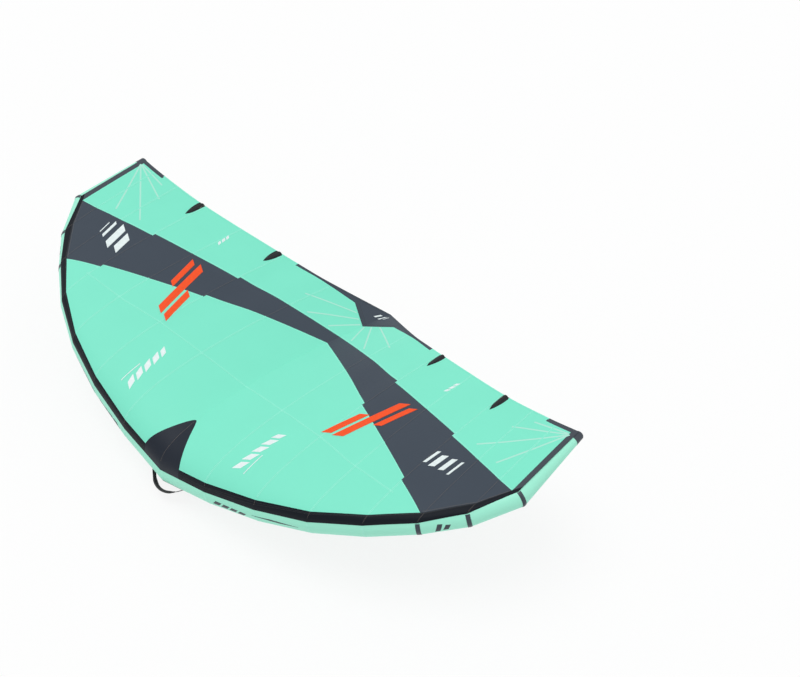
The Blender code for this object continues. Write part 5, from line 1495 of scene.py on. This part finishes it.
def solid_rings(rings):
    """Points, faces, thread places and creases of a closed solid through rings, its ends drawn to points."""
    ends = [np.repeat(ring.mean(axis=0, keepdims=True), len(ring), axis=0) for ring in (rings[0], rings[-1])]
    rings = np.concatenate([[ends[0]], rings, [ends[1]]])
    faces = grid_faces(*rings.shape[:2], True)
    return rings.reshape(-1, 3), faces, thread_map(rings).reshape(-1, 2), NO_CREASE


def add_grip(name, frame_at, along, near, sizes, ribs, shape, body, node):
    """A padded grip with ribs across it. Each of its sizes goes from an end value to a middle one."""
    depth, pitch, clear, room = ribs
    fill = ease(near / GRIP_TAPER_SHARE)
    wave_of = depth * np.cos(along / pitch * math.tau) * ease((near - clear) / 0.05)
    width, thick = (lerp(end, middle - room, fill) + wave_of for end, middle in sizes)
    piece = add_piece(name, [rounded_bar(*frame_at, width, thick, *shape)], "grip_foam", body, node)


def build_handles():
    sizes = (WEBBING_WIDTH, GRIP_WIDTH), (GRIP_END_THICK, GRIP_THICK)
    for name, ends in HANDLE_ENDS.items():
        line = HandleLine(ends)
        fore, aft = line.junctions
        y = np.linspace(fore + GAP / 2, aft - GAP / 2, 160)
        near = np.minimum(y - fore, aft - y) / (aft - fore)
        names = f"{name}_padded_grip", f"{name}_grip"
        add_grip(names[0], line.frame(y), y - fore, near, sizes, GRIP_RIBS, GRIP_SHAPE, name, names[1])
        for hand, root, junction, out in (("fore", ends[0], fore, -1), ("aft", ends[1], aft, 1)):
            build_strap_end(name, hand, line, root, junction, out)
            build_strap_patch(f"{name}_patch_{hand}", root, out)


def build_strap_end(name, hand, line, root, junction, out):
    """Webbing from its sewn tail to the grip's end."""
    y = np.linspace(root + out * WEBBING_TAIL, junction + out * GAP / 2, 60)
    part = rounded_bar(*line.frame(y), WEBBING_WIDTH, WEBBING_THICK, *WEBBING_SHAPE)
    piece = make_piece(f"{name}_strap_{hand}", [part], "dark_webbing")
    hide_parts(f"{name}_webbing_{hand}")
    places = line.frame(np.array([lerp(junction, root, 0.75), y[-1]]))[0]
    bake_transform(piece)


def strut_cloth(y, angle, rise):
    """A layer of cloth bonded on the strut."""
    return shell_parts(strut_point(y, angle, rise), strut_point(y, angle, BOND_RISE))


def build_strap_patch(name, root, out):
    """A reinforcement under the strut: a base plate, two fingers up each side and two webbing loops."""
    inward, outward = HANDLE_PATCHES[name]
    low, high = sorted((root - out * inward, root + out * outward))
    base = PATCH_WRAP_DEGREES * PATCH_BASE_SHARE
    y, angle = mesh_of(np.linspace(low, high, 24), np.linspace(-90 - base, -90 + base, 60))
    parts = [strut_cloth(y, angle, PATCH_WALL)]
    length = high - low
    finger, inset = length * FINGER_SHARE, length * FINGER_INSET_SHARE
    across_share, side = mesh_of(np.linspace(0, 1, 18), np.linspace(-1, 1, 90))
    # The fingers' ends are rounded by drawing their corners down the strut's side
    round_end = 1 - np.sqrt(np.maximum(1 - (2 * across_share - 1) ** 2, 0))
    for start in (low + inset, high - inset - finger):
        radius = float(strut_radius(start + finger / 2))
        reach = PATCH_WRAP_DEGREES - np.degrees(finger / 2 * round_end / radius)
        parts.append(strut_cloth(start + across_share * finger, -90 + side * reach, PATCH_WALL + FINGER_WALL))
    parts += [belt_loop(root + out * np.array(span)) for span in LOOP_SPANS]
    add_piece(f"{name}_cloth", parts, "sleeve_polyester", replaced=name)


def belt_loop(span):
    """A cloth loop sewn over the webbing."""
    inside = WEBBING_WIDTH / 2 + 3 * GAP
    slot = PATCH_WALL + 3 * GAP + WEBBING_THICK
    y, x = mesh_of(np.linspace(*span, 4), np.linspace(-1, 1, 33) * (inside + LOOP_FLANK))
    flank = ease((np.abs(x) - inside) / LOOP_BEND)
    skin = strut_height(y) - np.sqrt(np.maximum((strut_radius(y) + PATCH_WALL) ** 2 - x**2, 0))
    z = lerp(np.minimum(strut_bottom(y) - slot, skin), skin, flank)
    heights = z - LOOP_WALL * (1 - 0.5 * flank), z + BOND_RISE * flank
    return shell_parts(*(np.stack([x, y, height], axis=-1) for height in heights))


# Nose strap


def nose_line(x):
    """The strap's middle line, and its angle round the tube."""
    x = np.asarray(x, float)
    bow = np.clip(1 - (x / NOSE_STRAP_ROOT) ** 2, 0, 1)
    rise = NOSE_STRAP_RISE * bow**NOSE_STRAP_BOW_POWER
    degrees = lerp(NOSE_STRAP_DEGREES, NOSE_STRAP_RISE_DEGREES, bow)
    seat = NOSE_PATCH_WALL + 3 * GAP + WEBBING_THICK / 2
    # The free strap rounds off the tube's corner at the centre
    soft = lerp(np.abs(x), np.hypot(x, NOSE_STRAP_ROUND) - NOSE_STRAP_ROUND, bow)
    q = soft / CENTRES[1, 0]
    for _ in range(5):
        point = tube_point(q, degrees, seat + rise)
        q = q + (soft - point[..., 0]) / CENTRES[1, 0]
    return np.stack([x, point[..., 1], point[..., 2]], axis=-1), degrees


def nose_frame(x):
    """The strap's middle line, the way across the strap and the way out of its face."""
    centre, degrees = nose_line(x)
    run = unit(nose_line(x + PROBE)[0] - nose_line(x - PROBE)[0])
    angle = np.radians(degrees)
    out = np.stack([0 * angle, -np.cos(angle), np.sin(angle)], axis=-1)
    out = unit(out - run * (out * run).sum(axis=-1, keepdims=True))
    return centre, np.cross(run, out), out


def build_nose_patch():
    reach = NOSE_PATCH_HALF_WIDTH / CENTRES[1, 0]
    low, high = NOSE_PATCH_DEGREES
    q, share = mesh_of(np.linspace(0, reach, 14), np.linspace(-1, 1, 40))
    rounding = NOSE_PATCH_ROUND_DEGREES * (1 - ease((reach - q) / 0.08))
    angles = (low + high) / 2 + share * ((high - low) / 2 - rounding)
    grids = across_centre([tube_point(q, angles, extra) for extra in (NOSE_PATCH_WALL, BOND_RISE)])
    piece = add_piece("nose_strap_patch", [shell_parts(*grids)], "dark_webbing", replaced="nose_patch")
    declare_sheet(piece, grids[0])


def build_nose_strap():
    build_nose_patch()
    x = np.linspace(-NOSE_JUNCTION, NOSE_JUNCTION, 120)
    near = (NOSE_JUNCTION - np.abs(x)) / (2 * NOSE_JUNCTION)
    sizes = (NOSE_STRAP_WIDTH, NOSE_GRIP_WIDTH), (NOSE_GRIP_END_THICK, NOSE_GRIP_THICK)
    ways = nose_frame(x), x, near, sizes, NOSE_GRIP_RIBS, NOSE_GRIP_SHAPE
    add_grip("nose_padded_grip", *ways, "nose_handle", "nose_handle_grip")
    x = np.linspace(NOSE_STRAP_END, NOSE_JUNCTION + GAP, 50)
    part = rounded_bar(*nose_frame(x), NOSE_STRAP_WIDTH, WEBBING_THICK, *WEBBING_SHAPE)
    places = nose_line(np.array([lerp(NOSE_JUNCTION, NOSE_STRAP_ROOT, 0.8), NOSE_JUNCTION]))[0]
    for (hand, turn), side in zip(both_hands(), (1, -1)):
        piece = make_piece(f"nose_strap_{hand}", [turn(part)], "dark_webbing")
        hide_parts(f"nose_webbing_{hand}")
        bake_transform(piece)


# Frame pieces that keep their shape


def finish_frame_pieces():
    """Gives the frame's own pieces that stay visible the finish of their slot."""
    finishes = {
        "moulded_plastic": "valve_plastic",
        "spring_steel": "bright_steel",
        "batten_rod": "batten_fibre",
        "hose_rubber": "hose_rubber",
        "webbing": "pocket_cloth",
    }
    slots = {part["node"]: part["material_slot"] for part in frame["record"]["subparts"]}
    for name, node in frame["nodes"].items():
        if node.hide_render:
            continue
        node.data.materials.clear()
        node.data.materials.append(FINISHES[finishes[slots[name]]])


# Floor, light and camera


def seen_directly(tree):
    """1 where a ray comes from the camera, off a shine or through film, and 0 where it only lights others."""
    path = add_node(tree, "LightPath").outputs
    straight = combined(tree, "MAXIMUM", path["Is Camera Ray"], path["Is Glossy Ray"])
    return combined(tree, "MAXIMUM", straight, path["Is Transmission Ray"])


def build_floor():
    """A pale floor under the wing."""
    mesh = bpy.data.meshes.new("studio_floor")
    corners = [(x * FLOOR_HALF_SIDE, y * FLOOR_HALF_SIDE, 0) for x, y in ((-1, -1), (1, -1), (1, 1), (-1, 1))]
    mesh.from_pydata(corners, [], [(0, 1, 2, 3)])
    add_object("studio_floor", mesh)
    made, tree, shader = start_material("pale_studio_paper", "F4F5F5", 0.9)
    glow = add_node(tree, "Emission", {"Color": linear("FFFFFF"), "Strength": 1.0})
    share = combined(tree, "MULTIPLY", seen_directly(tree), FLOOR_GLOW)
    mixed = add_node(tree, "MixShader", {0: share, 1: shader.outputs[0], 2: glow.outputs[0]})
    tree.links.new(mixed.outputs[0], tree.nodes["Material Output"].inputs["Surface"])
    mesh.materials.append(made)


def build_light():
    """White light from all round, seen at full strength and lighting at less, and two soft lamps."""
    world = bpy.data.worlds.new("white_studio")
    world.use_nodes = True
    bpy.context.scene.world = world
    tree = world.node_tree
    strength = add_node(tree, "MapRange", {0: seen_directly(tree), 3: WORLD_LIGHT, 4: 1.0})
    background = tree.nodes["Background"]
    background.inputs["Color"].default_value = linear("FFFFFF")
    tree.links.new(strength.outputs[0], background.inputs["Strength"])
    for name, turn, strength, angle in LAMPS:
        lamp = bpy.data.lights.new(name, "SUN")
        lamp.energy = strength
        lamp.angle = math.radians(angle)
        add_object(name, lamp).rotation_euler = [math.radians(v) for v in turn]


def build_camera():
    data = bpy.data.cameras.new("camera")
    data.lens = CAMERA_LENS_MM
    data.sensor_width = SENSOR_WIDTH_MM
    look = Vector(CAMERA_LOOK).normalized()
    right = look.cross(Vector(CAMERA_UP)).normalized()
    turn = Matrix((right, right.cross(look), -look)).transposed().to_4x4()
    turn.translation = Vector(CAMERA_PLACE) + Vector(NOSE)
    camera = add_object("camera", data)
    camera.matrix_world = turn
    bpy.context.scene.camera = camera


build_camera()
build_floor()
build_light()
build_leading_tube()
build_air_bladder()
build_bands()
build_end_cups()
build_canopy()
build_seams()
build_joins()
build_patch_rows()
build_prints()
build_tube_seams()
build_batten_pockets()
build_strut()
build_handles()
build_nose_strap()
finish_frame_pieces()
bpy.context.scene.view_settings.view_transform = "Standard"
